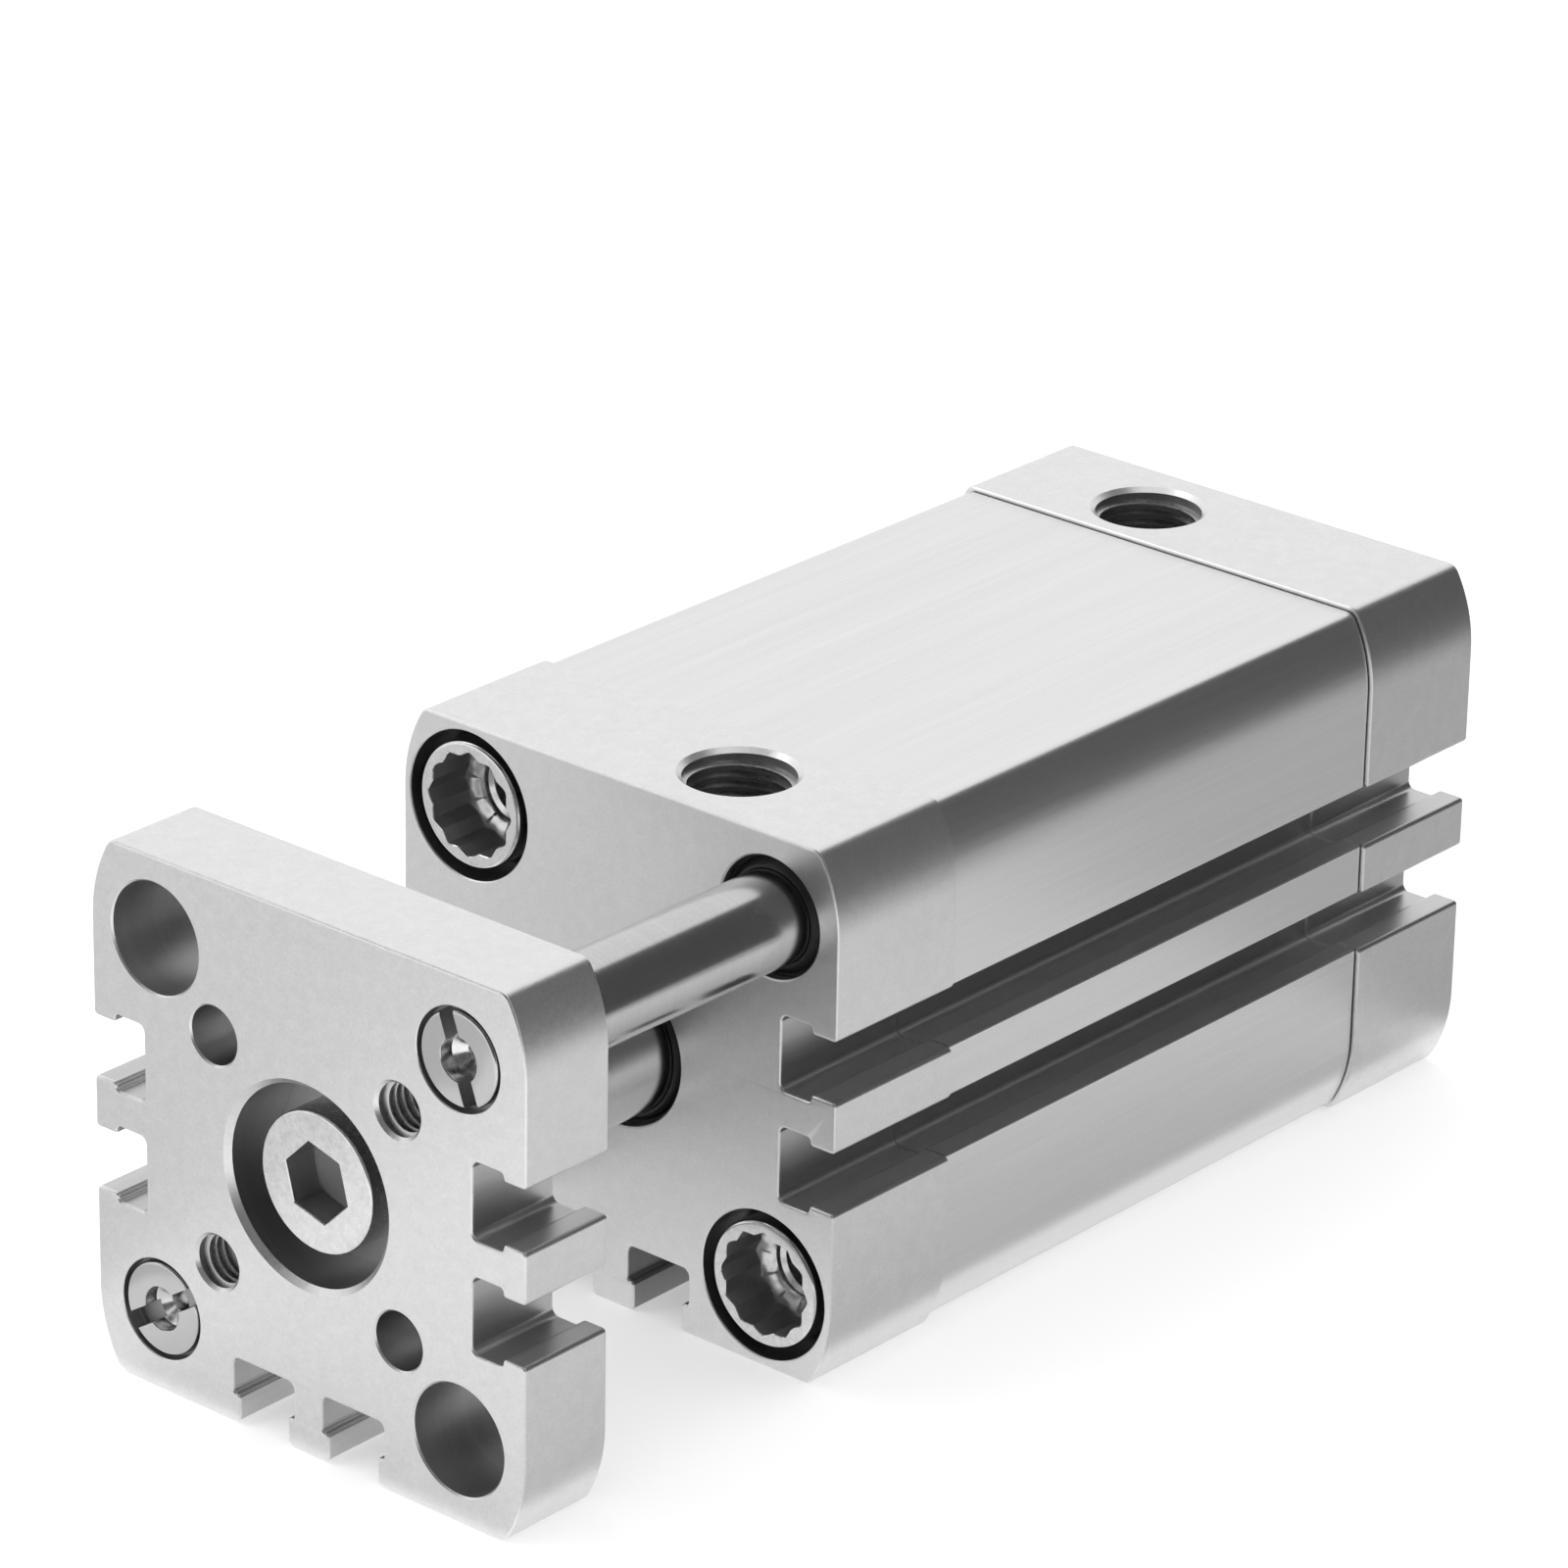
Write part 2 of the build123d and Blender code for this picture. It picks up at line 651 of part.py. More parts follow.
def make_all():
    """Every node of the cylinder by name."""
    band_front, band_rear = piston_bands()
    rod_bush_end = front_spigot_face - cushion_pocket_depth - bush_end_gap
    guide_bush = (guide_rod_radius, guide_groove_start, guide_groove_width, front_seam - bush_end_gap)
    guide_seat = (guide_mouth_step, guide_groove_start, guide_groove_step, guide_groove_width)
    rod_seat = (wiper_mouth_step, wiper_groove_start, wiper_groove_step, wiper_groove_width)
    return {
        "bearing_cap": make_bearing_cap(),
        "cylinder_barrel": make_barrel(),
        "end_cap": make_end_cap(),
        "front_collar_screws": make_front_collar_screws(),
        "rear_collar_screws": make_rear_collar_screws(),
        "rod_bush": make_bush(rod_radius, wiper_groove_start, wiper_groove_width, rod_bush_end),
        "rod_wiper": make_wiper(rod_radius, *rod_seat),
        "guide_bush_upper": make_bush(*guide_bush, UPPER_RIGHT),
        "guide_bush_lower": make_bush(*guide_bush, LOWER_LEFT),
        "guide_wiper_upper": make_wiper(guide_rod_radius, *guide_seat, UPPER_RIGHT),
        "guide_wiper_lower": make_wiper(guide_rod_radius, *guide_seat, LOWER_LEFT),
        "front_cap_seal": make_cap_seal(front_seam, 1),
        "rear_cap_seal": make_cap_seal(rear_seam, -1),
        "front_cushion_ring": make_cushion(front_spigot_face, 1),
        "rear_cushion_ring": make_cushion(rear_spigot_face, -1),
        "yoke_plate": make_yoke_plate(),
        "yoke_screw": make_yoke_screw(),
        "piston_rod": make_piston_rod(),
        "guide_rod_upper": make_guide_rod(UPPER_RIGHT, upper_slot_angle),
        "guide_rod_lower": make_guide_rod(LOWER_LEFT, lower_slot_angle),
        "piston_front_half": make_piston_front_half(),
        "piston_rear_half": make_piston_rear_half(),
        "piston_seal_front": make_piston_seal(piston_front, band_front),
        "piston_seal_rear": make_piston_seal(band_rear, piston_rear),
        "piston_magnet": make_piston_magnet(),
        "piston_guide_ring": make_piston_guide_ring(),
        "piston_o_ring": make_piston_o_ring(),
        "piston_screw": make_piston_screw(),
    }


os.makedirs("parts", exist_ok=True)
for name, shape in make_all().items():
    if isinstance(shape, list):
        shape = Compound(children=shape)
    export_step(shape, f"parts/{name}.step")
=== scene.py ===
import logging
import math
from collections.abc import Callable, Iterable, Sequence
from dataclasses import dataclass, field
from enum import Enum, auto

import bmesh
import bpy
from mathutils import Matrix, Vector
from mathutils.geometry import tessellate_polygon


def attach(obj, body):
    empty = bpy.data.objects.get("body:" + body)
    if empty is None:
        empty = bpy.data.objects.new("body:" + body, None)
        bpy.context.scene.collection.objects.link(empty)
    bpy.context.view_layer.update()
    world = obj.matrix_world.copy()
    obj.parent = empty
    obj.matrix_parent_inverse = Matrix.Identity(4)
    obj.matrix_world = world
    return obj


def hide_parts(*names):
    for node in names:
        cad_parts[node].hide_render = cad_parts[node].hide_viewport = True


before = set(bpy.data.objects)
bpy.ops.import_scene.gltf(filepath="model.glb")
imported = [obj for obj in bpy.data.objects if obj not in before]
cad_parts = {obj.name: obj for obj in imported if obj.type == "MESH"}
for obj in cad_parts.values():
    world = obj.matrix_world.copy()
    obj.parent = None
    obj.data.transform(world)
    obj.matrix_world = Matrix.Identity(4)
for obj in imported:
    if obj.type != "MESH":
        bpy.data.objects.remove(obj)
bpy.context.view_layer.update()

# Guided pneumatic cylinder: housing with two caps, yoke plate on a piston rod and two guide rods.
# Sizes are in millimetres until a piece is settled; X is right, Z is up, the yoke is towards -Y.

log = logging.getLogger("guided_cylinder")

MILLIMETRE = 0.001
WELD_DISTANCE = 1e-6
CREASE_DEGREES = 28.0
ROUND_STEPS = 96

Point2 = tuple[float, float]
Point3 = tuple[float, float, float]
Loop = list[Point2]
Rim = float | Callable[[float], float]


class Body(Enum):
    """The two rigid bodies of the part."""

    HOUSING = "housing"
    SLIDE = "slide_unit"


class Lay(Enum):
    """Direction of the fine marks that the last tool left, as a stretch of the marks along X, Y, Z."""

    EVEN = (1.0, 1.0, 1.0)
    ALONG_AXIS = (1.0, 60.0, 1.0)
    ACROSS = (30.0, 1.0, 30.0)


class Zone(Enum):
    """Kinds of surface on one piece: the outside, and places that get painted shade, or a painted highlight in a
    centre hole.
    """

    OUTSIDE = auto()
    DEEP_SHADE = auto()
    SLOT_SHADE = auto()
    SOFT_SHADE = auto()
    CENTRE_HIGHLIGHT = auto()


# flat shapes


def arc(centre: Point2, radius: float, start: float, end: float, steps: int) -> Loop:
    """Points of an arc, its two ends included.

    Args:
        centre: Middle of the arc.
        radius: Radius of the arc.
        start: First angle in radians.
        end: Last angle in radians.
        steps: Number of chords.

    Returns:
        steps + 1 points.
    """
    angles = [start + (end - start) * i / steps for i in range(steps + 1)]
    return [(centre[0] + radius * math.cos(a), centre[1] + radius * math.sin(a)) for a in angles]


def rounded_corner(before: Point2, corner: Point2, after: Point2, radius: float, steps: int) -> Loop:
    """Points that round one corner of an outline.

    Args:
        before: Point ahead of the corner.
        corner: The sharp corner.
        after: Point past the corner.
        radius: Fillet radius; none at 0.
        steps: Chords of the fillet.

    Returns:
        The fillet's points, or the corner itself.
    """
    if radius <= 0:
        return [corner]
    point = Vector(corner)
    to_before = (Vector(before) - point).normalized()
    to_after = (Vector(after) - point).normalized()
    half = to_before.angle(to_after) / 2
    centre = point + (to_before + to_after).normalized() * radius / math.sin(half)
    first = point + to_before * radius / math.tan(half) - centre
    last = point + to_after * radius / math.tan(half) - centre
    start = math.atan2(first.y, first.x)
    sweep = (math.atan2(last.y, last.x) - start + math.pi) % (2 * math.pi) - math.pi
    return arc((centre.x, centre.y), radius, start, start + sweep, steps)


def inset(loop: Sequence[Point2], distance: float) -> Loop:
    """Outline moved into its solid side.

    Args:
        loop: Closed outline, counter-clockwise round the solid.
        distance: How far it moves.

    Returns:
        The moved outline, point for point.
    """
    moved = []
    for i, here in enumerate(loop):
        before = Vector(here) - Vector(loop[i - 1])
        after = Vector(loop[(i + 1) % len(loop)]) - Vector(here)
        normal_in = Vector((-before.y, before.x)).normalized()
        normal_out = Vector((-after.y, after.x)).normalized()
        shift = (normal_in + normal_out) * distance / (1 + normal_in.dot(normal_out))
        moved.append((here[0] + shift.x, here[1] + shift.y))
    return moved


def polygon_rim(across_flats: float, turn_degrees: float = 0.0) -> Callable[[float], float]:
    """Radius of a hexagon by angle.

    Args:
        across_flats: Width of the hexagon.
        turn_degrees: How far it is turned.

    Returns:
        A function from angle in radians to radius.
    """
    sector = math.pi / 3

    def radius(angle: float) -> float:
        """Distance from the middle to the hexagon's side."""
        offset = (angle - math.radians(turn_degrees)) % sector - sector / 2
        return across_flats / 2 / math.cos(offset)

    return radius


def star_rim(across_flats: float, tip: float) -> Callable[[float], float]:
    """Radius of a 12-point socket by angle, as two hexagons a half turn of a sector apart.

    Args:
        across_flats: Width of each hexagon.
        tip: Radius at which the points are blunted.

    Returns:
        A function from angle in radians to radius.
    """
    first, second = polygon_rim(across_flats), polygon_rim(across_flats, 30)
    return lambda angle: min(tip, max(first(angle), second(angle)))


@dataclass(frozen=True)
class Profile:
    """Cross-section that the caps, the barrel and the yoke plate share, seen from the yoke's side."""

    half_width: float = 23.5
    corner_x: float = 10.4
    corner_z: float = 16.2
    bend_radius: float = 1.2
    slot_offset: float = 4.9
    slot_half_mouth: float = 2.65
    slot_half_head: float = 3.33
    slot_floor: float = 17.7
    slot_lip: float = 20.9
    slot_fillet: float = 0.33
    floor_fillet: float = 0.65
    mouth_fillet: float = 0.4
    left_slots: bool = True
    slot_margin: float = 0.05
    corner_steps: int = 16
    fillet_steps: int = 5

    def corner(self) -> Loop:
        """Upper right corner, from the side face over the large arc to the flat top.

        Returns:
            Its points.
        """
        radius = self.half_width - self.corner_x
        bend_z = self.half_width - self.bend_radius
        rise = bend_z - self.corner_z
        bend_x = self.corner_x + math.sqrt((radius - self.bend_radius) ** 2 - rise**2)
        meet = math.atan2(rise, bend_x - self.corner_x)
        large = arc((self.corner_x, self.corner_z), radius, 0, meet, self.corner_steps)
        bend = arc((bend_x, bend_z), self.bend_radius, meet, math.pi / 2, 2 * self.fillet_steps)
        return large + bend[1:]

    def slotted_face(self) -> Loop:
        """Both T-slots of the right face, from its lower to its upper end, without the corners.

        Returns:
            Its points.
        """
        sharp: list[Point3] = []
        for middle in (-self.slot_offset, self.slot_offset):
            for side in (-1, 1):
                mouth = middle + side * self.slot_half_mouth
                head = middle + side * self.slot_half_head
                run = [
                    (self.half_width, mouth, self.mouth_fillet),
                    (self.slot_lip, mouth, self.slot_fillet),
                    (self.slot_lip, head, self.slot_fillet),
                    (self.slot_floor, head, self.floor_fillet),
                ]
                sharp += run if side < 0 else run[::-1]
        ends = [(self.half_width, -self.corner_z, 0.0)] + sharp + [(self.half_width, self.corner_z, 0.0)]
        points: Loop = []
        for before, here, after in zip(ends, ends[1:], ends[2:]):
            points += rounded_corner(before[:2], here[:2], after[:2], here[2], self.fillet_steps)
        return points

    def loop(self) -> Loop:
        """Whole outline, counter-clockwise from the right face.

        Returns:
            Its points.
        """
        right = self.slotted_face()
        upper_right = self.corner()
        upper_left = [(-x, z) for x, z in reversed(upper_right)]
        left = [(-x, -z) for x, z in right] if self.left_slots else []
        lower_left = [(-x, -z) for x, z in upper_right]
        below = [(z, -x) for x, z in right]
        lower_right = [(-x, -z) for x, z in upper_left]
        return right + upper_right + upper_left + left + lower_left + below + lower_right

    def in_slot(self, x: float, z: float) -> bool:
        """Tells whether a point of the outline lies in a slot.

        Args:
            x: Place across.
            z: Height.

        Returns:
            True in a slot, and False on the outside.
        """
        if z > abs(x):
            return False
        deep, along = sorted((abs(x), abs(z)), reverse=True)
        near = abs(along - self.slot_offset) < self.slot_half_head + self.slot_margin
        return near and self.slot_floor - self.slot_margin < deep < self.half_width - 2 * self.slot_margin


# surfaces


@dataclass(frozen=True)
class Bore:
    """Turned hole: (radius, station) pairs from its mouth inwards, about one centre."""

    centre: Point2
    walls: tuple[Point2, ...]
    # Which painted shade its walls get behind the mouth.
    zone: Zone = Zone.DEEP_SHADE


class Skin:
    """Closed surface put together ring by ring, in millimetres."""

    def __init__(self) -> None:
        """Starts with no points and no faces."""
        self.points: list[Point3] = []
        self.faces: list[tuple[int, ...]] = []

    def ring(self, points: Iterable[Point3]) -> list[int]:
        """Adds points.

        Args:
            points: The points.

        Returns:
            Their numbers.
        """
        start = len(self.points)
        self.points.extend(points)
        return list(range(start, len(self.points)))

    def turned_ring(self, rim: Rim, y: float, centre: Point2 = (0.0, 0.0), steps: int = ROUND_STEPS) -> list[int]:
        """Adds a ring about a line along Y.

        Args:
            rim: Radius, or radius by angle; 0 gives one point.
            y: Station of the ring.
            centre: Place of the line.
            steps: Points of the ring.

        Returns:
            The numbers of the points.
        """
        if rim == 0:
            return self.ring([(centre[0], y, centre[1])])
        points = []
        for i in range(steps):
            angle = 2 * math.pi * i / steps
            radius = rim(angle) if callable(rim) else rim
            points.append((centre[0] + radius * math.cos(angle), y, centre[1] + radius * math.sin(angle)))
        return self.ring(points)

    def bridge(self, first: Sequence[int], second: Sequence[int], skip: frozenset[int] = frozenset()) -> None:
        """Joins two closed rings of equal length, or a ring and a point.

        Args:
            first: Point numbers of one ring.
            second: Point numbers of the other ring.
            skip: Edges that get no face.
        """
        count = max(len(first), len(second))
        for i in range(count):
            if i in skip:
                continue
            j = (i + 1) % count
            corners = [first[i % len(first)], first[j % len(first)], second[j % len(second)], second[i % len(second)]]
            self.faces.append(tuple(dict.fromkeys(corners)))

    def path(self, rings: Sequence[Sequence[int]], closed: bool = False) -> None:
        """Joins rings one after the other.

        Args:
            rings: Point numbers of each ring.
            closed: True where the last ring joins the first.
        """
        for first, second in zip(rings, rings[1:]):
            self.bridge(first, second)
        if closed:
            self.bridge(rings[-1], rings[0])

    def fill(self, outer: Sequence[int], holes: Sequence[Sequence[int]] = ()) -> None:
        """Fills a flat outline.

        Args:
            outer: Point numbers of the outline.
            holes: Point numbers of each hole that stays open.
        """
        rings = [list(outer), *[list(h) for h in holes]]
        order = [number for ring in rings for number in ring]
        triangles = tessellate_polygon([[Vector(self.points[n]) for n in ring] for ring in rings])
        self.faces.extend(tuple(order[k] for k in triangle) for triangle in triangles)

    def mesh(self, name: str) -> bpy.types.Mesh:
        """Mesh of everything added so far.

        Args:
            name: Name of the mesh.

        Returns:
            The mesh, in millimetres.
        """
        mesh = bpy.data.meshes.new(name)
        mesh.from_pydata(self.points, [], self.faces)
        return mesh


def turned(walls: Sequence[tuple[Rim, float]], centre: Point2 = (0.0, 0.0), closed: bool = False) -> Skin:
    """Turned piece about a line along Y.

    Args:
        walls: (rim, station) pairs; a rim of 0 at both ends closes a solid piece.
        centre: Place of the line.
        closed: True for a ring, whose last wall meets its first.

    Returns:
        The surface.
    """
    skin = Skin()
    skin.path([skin.turned_ring(rim, y, centre) for rim, y in walls], closed)
    return skin


@dataclass
class Block:
    """Length of the profile with broken end edges, bores along the axis and ports in its top."""

    profile: Profile
    front: float
    rear: float
    bores: tuple[Bore, ...] = ()
    ports: tuple[Bore, ...] = ()
    edge_round: float = 0.25
    edge_steps: int = 3
    bright_edge: float = 0.35
    bore_margin: float = 0.05

    def zone(self, point: Vector) -> Zone:
        """Where painted shade goes at a point: holes and slots get their darker finish from a short way behind their
        mouths, which keep the outside finish.

        Args:
            point: Middle of a face, in millimetres.

        Returns:
            The kind of surface.
        """
        if not self.front + self.bright_edge < point.y < self.rear - self.bright_edge:
            return Zone.OUTSIDE
        for bore in self.bores:
            reach = max(radius for radius, _ in bore.walls) + self.bore_margin
            if math.hypot(point.x - bore.centre[0], point.z - bore.centre[1]) < reach:
                return bore.zone
        for port in self.ports:
            reach, top = port.walls[0]
            sunk = point.z < top - self.bright_edge
            if sunk and math.hypot(point.x - port.centre[0], point.y - port.centre[1]) < reach:
                return port.zone
        return Zone.SLOT_SHADE if self.profile.in_slot(point.x, point.z) else Zone.OUTSIDE

    def edge_rings(self, skin: Skin) -> list[list[int]]:
        """Adds the rings of the outline, with rounded edges at both ends.

        Args:
            skin: Surface that gets them.

        Returns:
            Point numbers of each ring, from the front face to the rear face.
        """
        outline = self.profile.loop()
        rings = []
        for face, inward in ((self.front, 1), (self.rear, -1)):
            group = []
            for step in range(self.edge_steps + 1):
                angle = math.pi / 2 * step / self.edge_steps
                moved = inset(outline, self.edge_round * (1 - math.sin(angle)))
                y = face + inward * self.edge_round * (1 - math.cos(angle))
                group.append(skin.ring((x, y, z) for x, z in moved))
            rings += group if inward > 0 else group[::-1]
        return rings

    def skin(self) -> Skin:
        """Puts the block together.

        Returns:
            Its whole surface.
        """
        skin = Skin()
        rings = self.edge_rings(skin)
        front_holes, rear_holes = [], []
        for bore in self.bores:
            stack = [skin.turned_ring(rim, y, bore.centre) for rim, y in bore.walls]
            skin.path(stack)
            for ring, (_, y) in ((stack[0], bore.walls[0]), (stack[-1], bore.walls[-1])):
                if abs(y - self.front) < WELD_DISTANCE:
                    front_holes.append(ring)
                elif abs(y - self.rear) < WELD_DISTANCE:
                    rear_holes.append(ring)
                elif len(ring) > 1:
                    skin.fill(ring)
        skin.fill(rings[0], front_holes)
        skin.fill(rings[-1], rear_holes)
        middle = self.edge_steps
        for i, (first, second) in enumerate(zip(rings, rings[1:])):
            top = self.top_edge(skin, first) if self.ports and i == middle else None
            skin.bridge(first, second, frozenset() if top is None else frozenset({top}))
            if top is not None:
                self.top_face(skin, first, second, top)
        return skin

    def top_edge(self, skin: Skin, ring: Sequence[int]) -> int:
        """Finds the edge that runs along the flat top, from the right half to the left half.

        Args:
            skin: Surface that holds the points.
            ring: Point numbers of the outline.

        Returns:
            The edge's number.
        """
        places = [skin.points[number] for number in ring]
        pairs = enumerate(zip(places, places[1:] + places[:1]))
        return next(i for i, (here, after) in pairs if here[0] > 0 > after[0] and here[2] > 0)

    def top_face(self, skin: Skin, first: Sequence[int], second: Sequence[int], edge: int) -> None:
        """Adds the flat top with its ports sunk into it.

        Args:
            skin: Surface that gets it.
            first: Ring at its front end.
            second: Ring at its rear end.
            edge: Number of the rings' top edge.
        """
        after = (edge + 1) % len(first)
        mouths = []
        for port in self.ports:
            stack = []
            for radius, z in port.walls:
                circle = arc(port.centre, radius, 0, 2 * math.pi, ROUND_STEPS)[:-1]
                stack.append(skin.ring((x, y, z) for x, y in circle))
            skin.path(stack)
            skin.fill(stack[-1])
            mouths.append(stack[0])
        skin.fill([first[edge], first[after], second[after], second[edge]], mouths)


def in_scene(name: str, data: bpy.types.ID) -> bpy.types.Object:
    """Puts a new object in the scene.

    Args:
        name: Name of the object.
        data: Its mesh, lamp or camera.

    Returns:
        The object.
    """
    item = bpy.data.objects.new(name, data)
    bpy.context.scene.collection.objects.link(item)
    return item


def weld(mesh: bpy.types.Mesh) -> None:
    """Merges doubled points of a closed mesh and points its faces outwards.

    Args:
        mesh: Mesh that is changed.
    """
    work = bmesh.new()
    work.from_mesh(mesh)
    bmesh.ops.remove_doubles(work, verts=work.verts, dist=WELD_DISTANCE)
    bmesh.ops.dissolve_degenerate(work, edges=work.edges, dist=WELD_DISTANCE)
    bmesh.ops.recalc_face_normals(work, faces=work.faces)
    work.to_mesh(mesh)
    work.free()


def evaluated_mesh(piece: bpy.types.Object) -> bpy.types.Mesh:
    """Plain mesh of an object with its modifiers applied."""
    depsgraph = bpy.context.evaluated_depsgraph_get()
    return bpy.data.meshes.new_from_object(piece.evaluated_get(depsgraph), depsgraph=depsgraph)


@dataclass(frozen=True)
class PaintedRecessShade:
    """Darker finishes that paint shade into holes, slots and sockets, a paler one that paints a highlight into a
    centre hole, and where those go.
    """

    materials: dict[Zone, bpy.types.Material]
    zone: Callable[[Vector], Zone]

    def dress(self, mesh: bpy.types.Mesh) -> None:
        """Gives each face the finish of its zone; the outside keeps the piece's own.

        Args:
            mesh: Mesh with its own finish in its first place.
        """
        for material in self.materials.values():
            mesh.materials.append(material)
        order = [Zone.OUTSIDE, *self.materials]
        for face in mesh.polygons:
            face.material_index = order.index(self.zone(face.center / MILLIMETRE))


def settle(name: str, shape: Skin | bpy.types.Mesh, material: bpy.types.Material, body: Body,
           stands_for: Sequence[str] = (), recess_shade: PaintedRecessShade | None = None) -> None:
    """Turns a closed shape into a finished piece of the part, and reports it.

    Args:
        name: Name of the piece.
        shape: Surface or mesh in millimetres, at its place.
        material: Finish of the piece.
        body: Body that carries it.
        stands_for: CAD nodes that it is shown in place of.
        recess_shade: Finishes of its holes and slots.
    """
    mesh = shape.mesh(name) if isinstance(shape, Skin) else shape
    mesh.transform(Matrix.Scale(MILLIMETRE, 4))
    weld(mesh)
    mesh.materials.clear()
    mesh.materials.append(material)
    if recess_shade:
        recess_shade.dress(mesh)
    mesh.shade_smooth()
    mesh.set_sharp_from_angle(angle=math.radians(CREASE_DEGREES))
    piece = in_scene(name, mesh)
    even = piece.modifiers.new("Face weighted normals", "WEIGHTED_NORMAL")
    even.keep_sharp = True
    even.weight = 100
    shaded = evaluated_mesh(piece)
    piece.modifiers.clear()
    piece.data = shaded
    shaded.name = name
    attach(piece, body.value)
    if stands_for:
        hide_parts(*stands_for)
    log.info("%s: %d faces on %s", name, len(shaded.polygons), body.value)


# node trees


def add_node(tree: bpy.types.NodeTree, kind: str, inputs: dict | None = None, links: dict | None = None,
             **settings: object) -> bpy.types.Node:
    """Adds one node with its settings, values and links.

    Args:
        tree: Tree that gets the node.
        kind: Blender's name of the node type.
        inputs: Values by input name or number.
        links: Sources by input name or number.
        **settings: Properties of the node.

    Returns:
        The node.
    """
    node = tree.nodes.new(kind)
    for key, value in settings.items():
        setattr(node, key, value)
    for key, value in (inputs or {}).items():
        node.inputs[key].default_value = value
    for key, source in (links or {}).items():
        tree.links.new(source, node.inputs[key])
    return node


@dataclass
class GrowthTree:
    """Geometry node tree with named inputs, and the means to turn its result into a plain mesh."""

    name: str
    sockets: dict[str, str]
    tree: bpy.types.NodeTree = field(init=False)
    given: bpy.types.Node = field(init=False)

    def __post_init__(self) -> None:
        """Makes the tree's interface and its group input."""
        self.tree = bpy.data.node_groups.new(self.name, "GeometryNodeTree")
        self.tree.interface.new_socket("Geometry", in_out="INPUT", socket_type="NodeSocketGeometry")
        for name, kind in self.sockets.items():
            self.tree.interface.new_socket(name, in_out="INPUT", socket_type=kind)
        self.tree.interface.new_socket("Geometry", in_out="OUTPUT", socket_type="NodeSocketGeometry")
        self.given = self.tree.nodes.new("NodeGroupInput")

    def node(self, kind: str, inputs: dict | None = None, links: dict | None = None,
             **settings: object) -> bpy.types.Node:
        """Adds a node; a link given as text comes from the tree's input of that name."""
        sources = {k: self.given.outputs[s] if isinstance(s, str) else s for k, s in (links or {}).items()}
        return add_node(self.tree, kind, inputs, sources, **settings)

    def finish(self, geometry: bpy.types.NodeSocket) -> None:
        """Ends the tree in Realize Instances and Set Material.

        Args:
            geometry: What the tree has made.
        """
        real = self.node("GeometryNodeRealizeInstances", links={"Geometry": geometry})
        dressed = self.node("GeometryNodeSetMaterial", links={"Geometry": real.outputs[0], "Material": "Material"})
        self.node("NodeGroupOutput", links={"Geometry": dressed.outputs[0]})

    def grow(self, base: bpy.types.Mesh, **values: object) -> bpy.types.Mesh:
        """Runs the tree on a mesh.

        Args:
            base: Mesh that the tree starts from.
            **values: Values of the named inputs, with _ for a space.

        Returns:
            The result as a plain mesh.
        """
        carrier = in_scene(self.name, base)
        modifier = carrier.modifiers.new(self.name, "NODES")
        modifier.node_group = self.tree
        named = {key.replace("_", " "): value for key, value in values.items()}
        for item in self.tree.interface.items_tree:
            if item.in_out == "INPUT" and item.name in named:
                modifier[item.identifier] = named[item.name]
        result = evaluated_mesh(carrier)
        bpy.data.objects.remove(carrier)
        return result


def extrusion_tree() -> GrowthTree:
    """Tree that fills flat outlines and draws them out to a length, as the extrusion press does.

    Returns:
        The tree.
    """
    grower = GrowthTree("Extrusion", {"Length": "NodeSocketFloat", "Rear Station": "NodeSocketFloat",
                                      "Material": "NodeSocketMaterial"})
    outline = grower.node("GeometryNodeMeshToCurve", links={"Mesh": "Geometry"})
    filled = grower.node("GeometryNodeFillCurve", links={"Curve": outline.outputs[0]})
    drawn = grower.node("GeometryNodeExtrudeMesh", inputs={"Individual": False},
                        links={"Mesh": filled.outputs[0], "Offset Scale": "Length"})
    under = grower.node("GeometryNodeFlipFaces", links={"Mesh": filled.outputs[0]})
    joined = grower.node("GeometryNodeJoinGeometry")
    grower.tree.links.new(drawn.outputs[0], joined.inputs[0])
    grower.tree.links.new(under.outputs[0], joined.inputs[0])
    merged = grower.node("GeometryNodeMergeByDistance", links={"Geometry": joined.outputs[0]})
    place = grower.node("ShaderNodeCombineXYZ", links={"Y": "Rear Station"})
    moved = grower.node("GeometryNodeTransform", inputs={"Rotation": (math.pi / 2, 0, 0)},
                        links={"Geometry": merged.outputs[0], "Translation": place.outputs[0]})
    grower.finish(moved.outputs[0])
    return grower


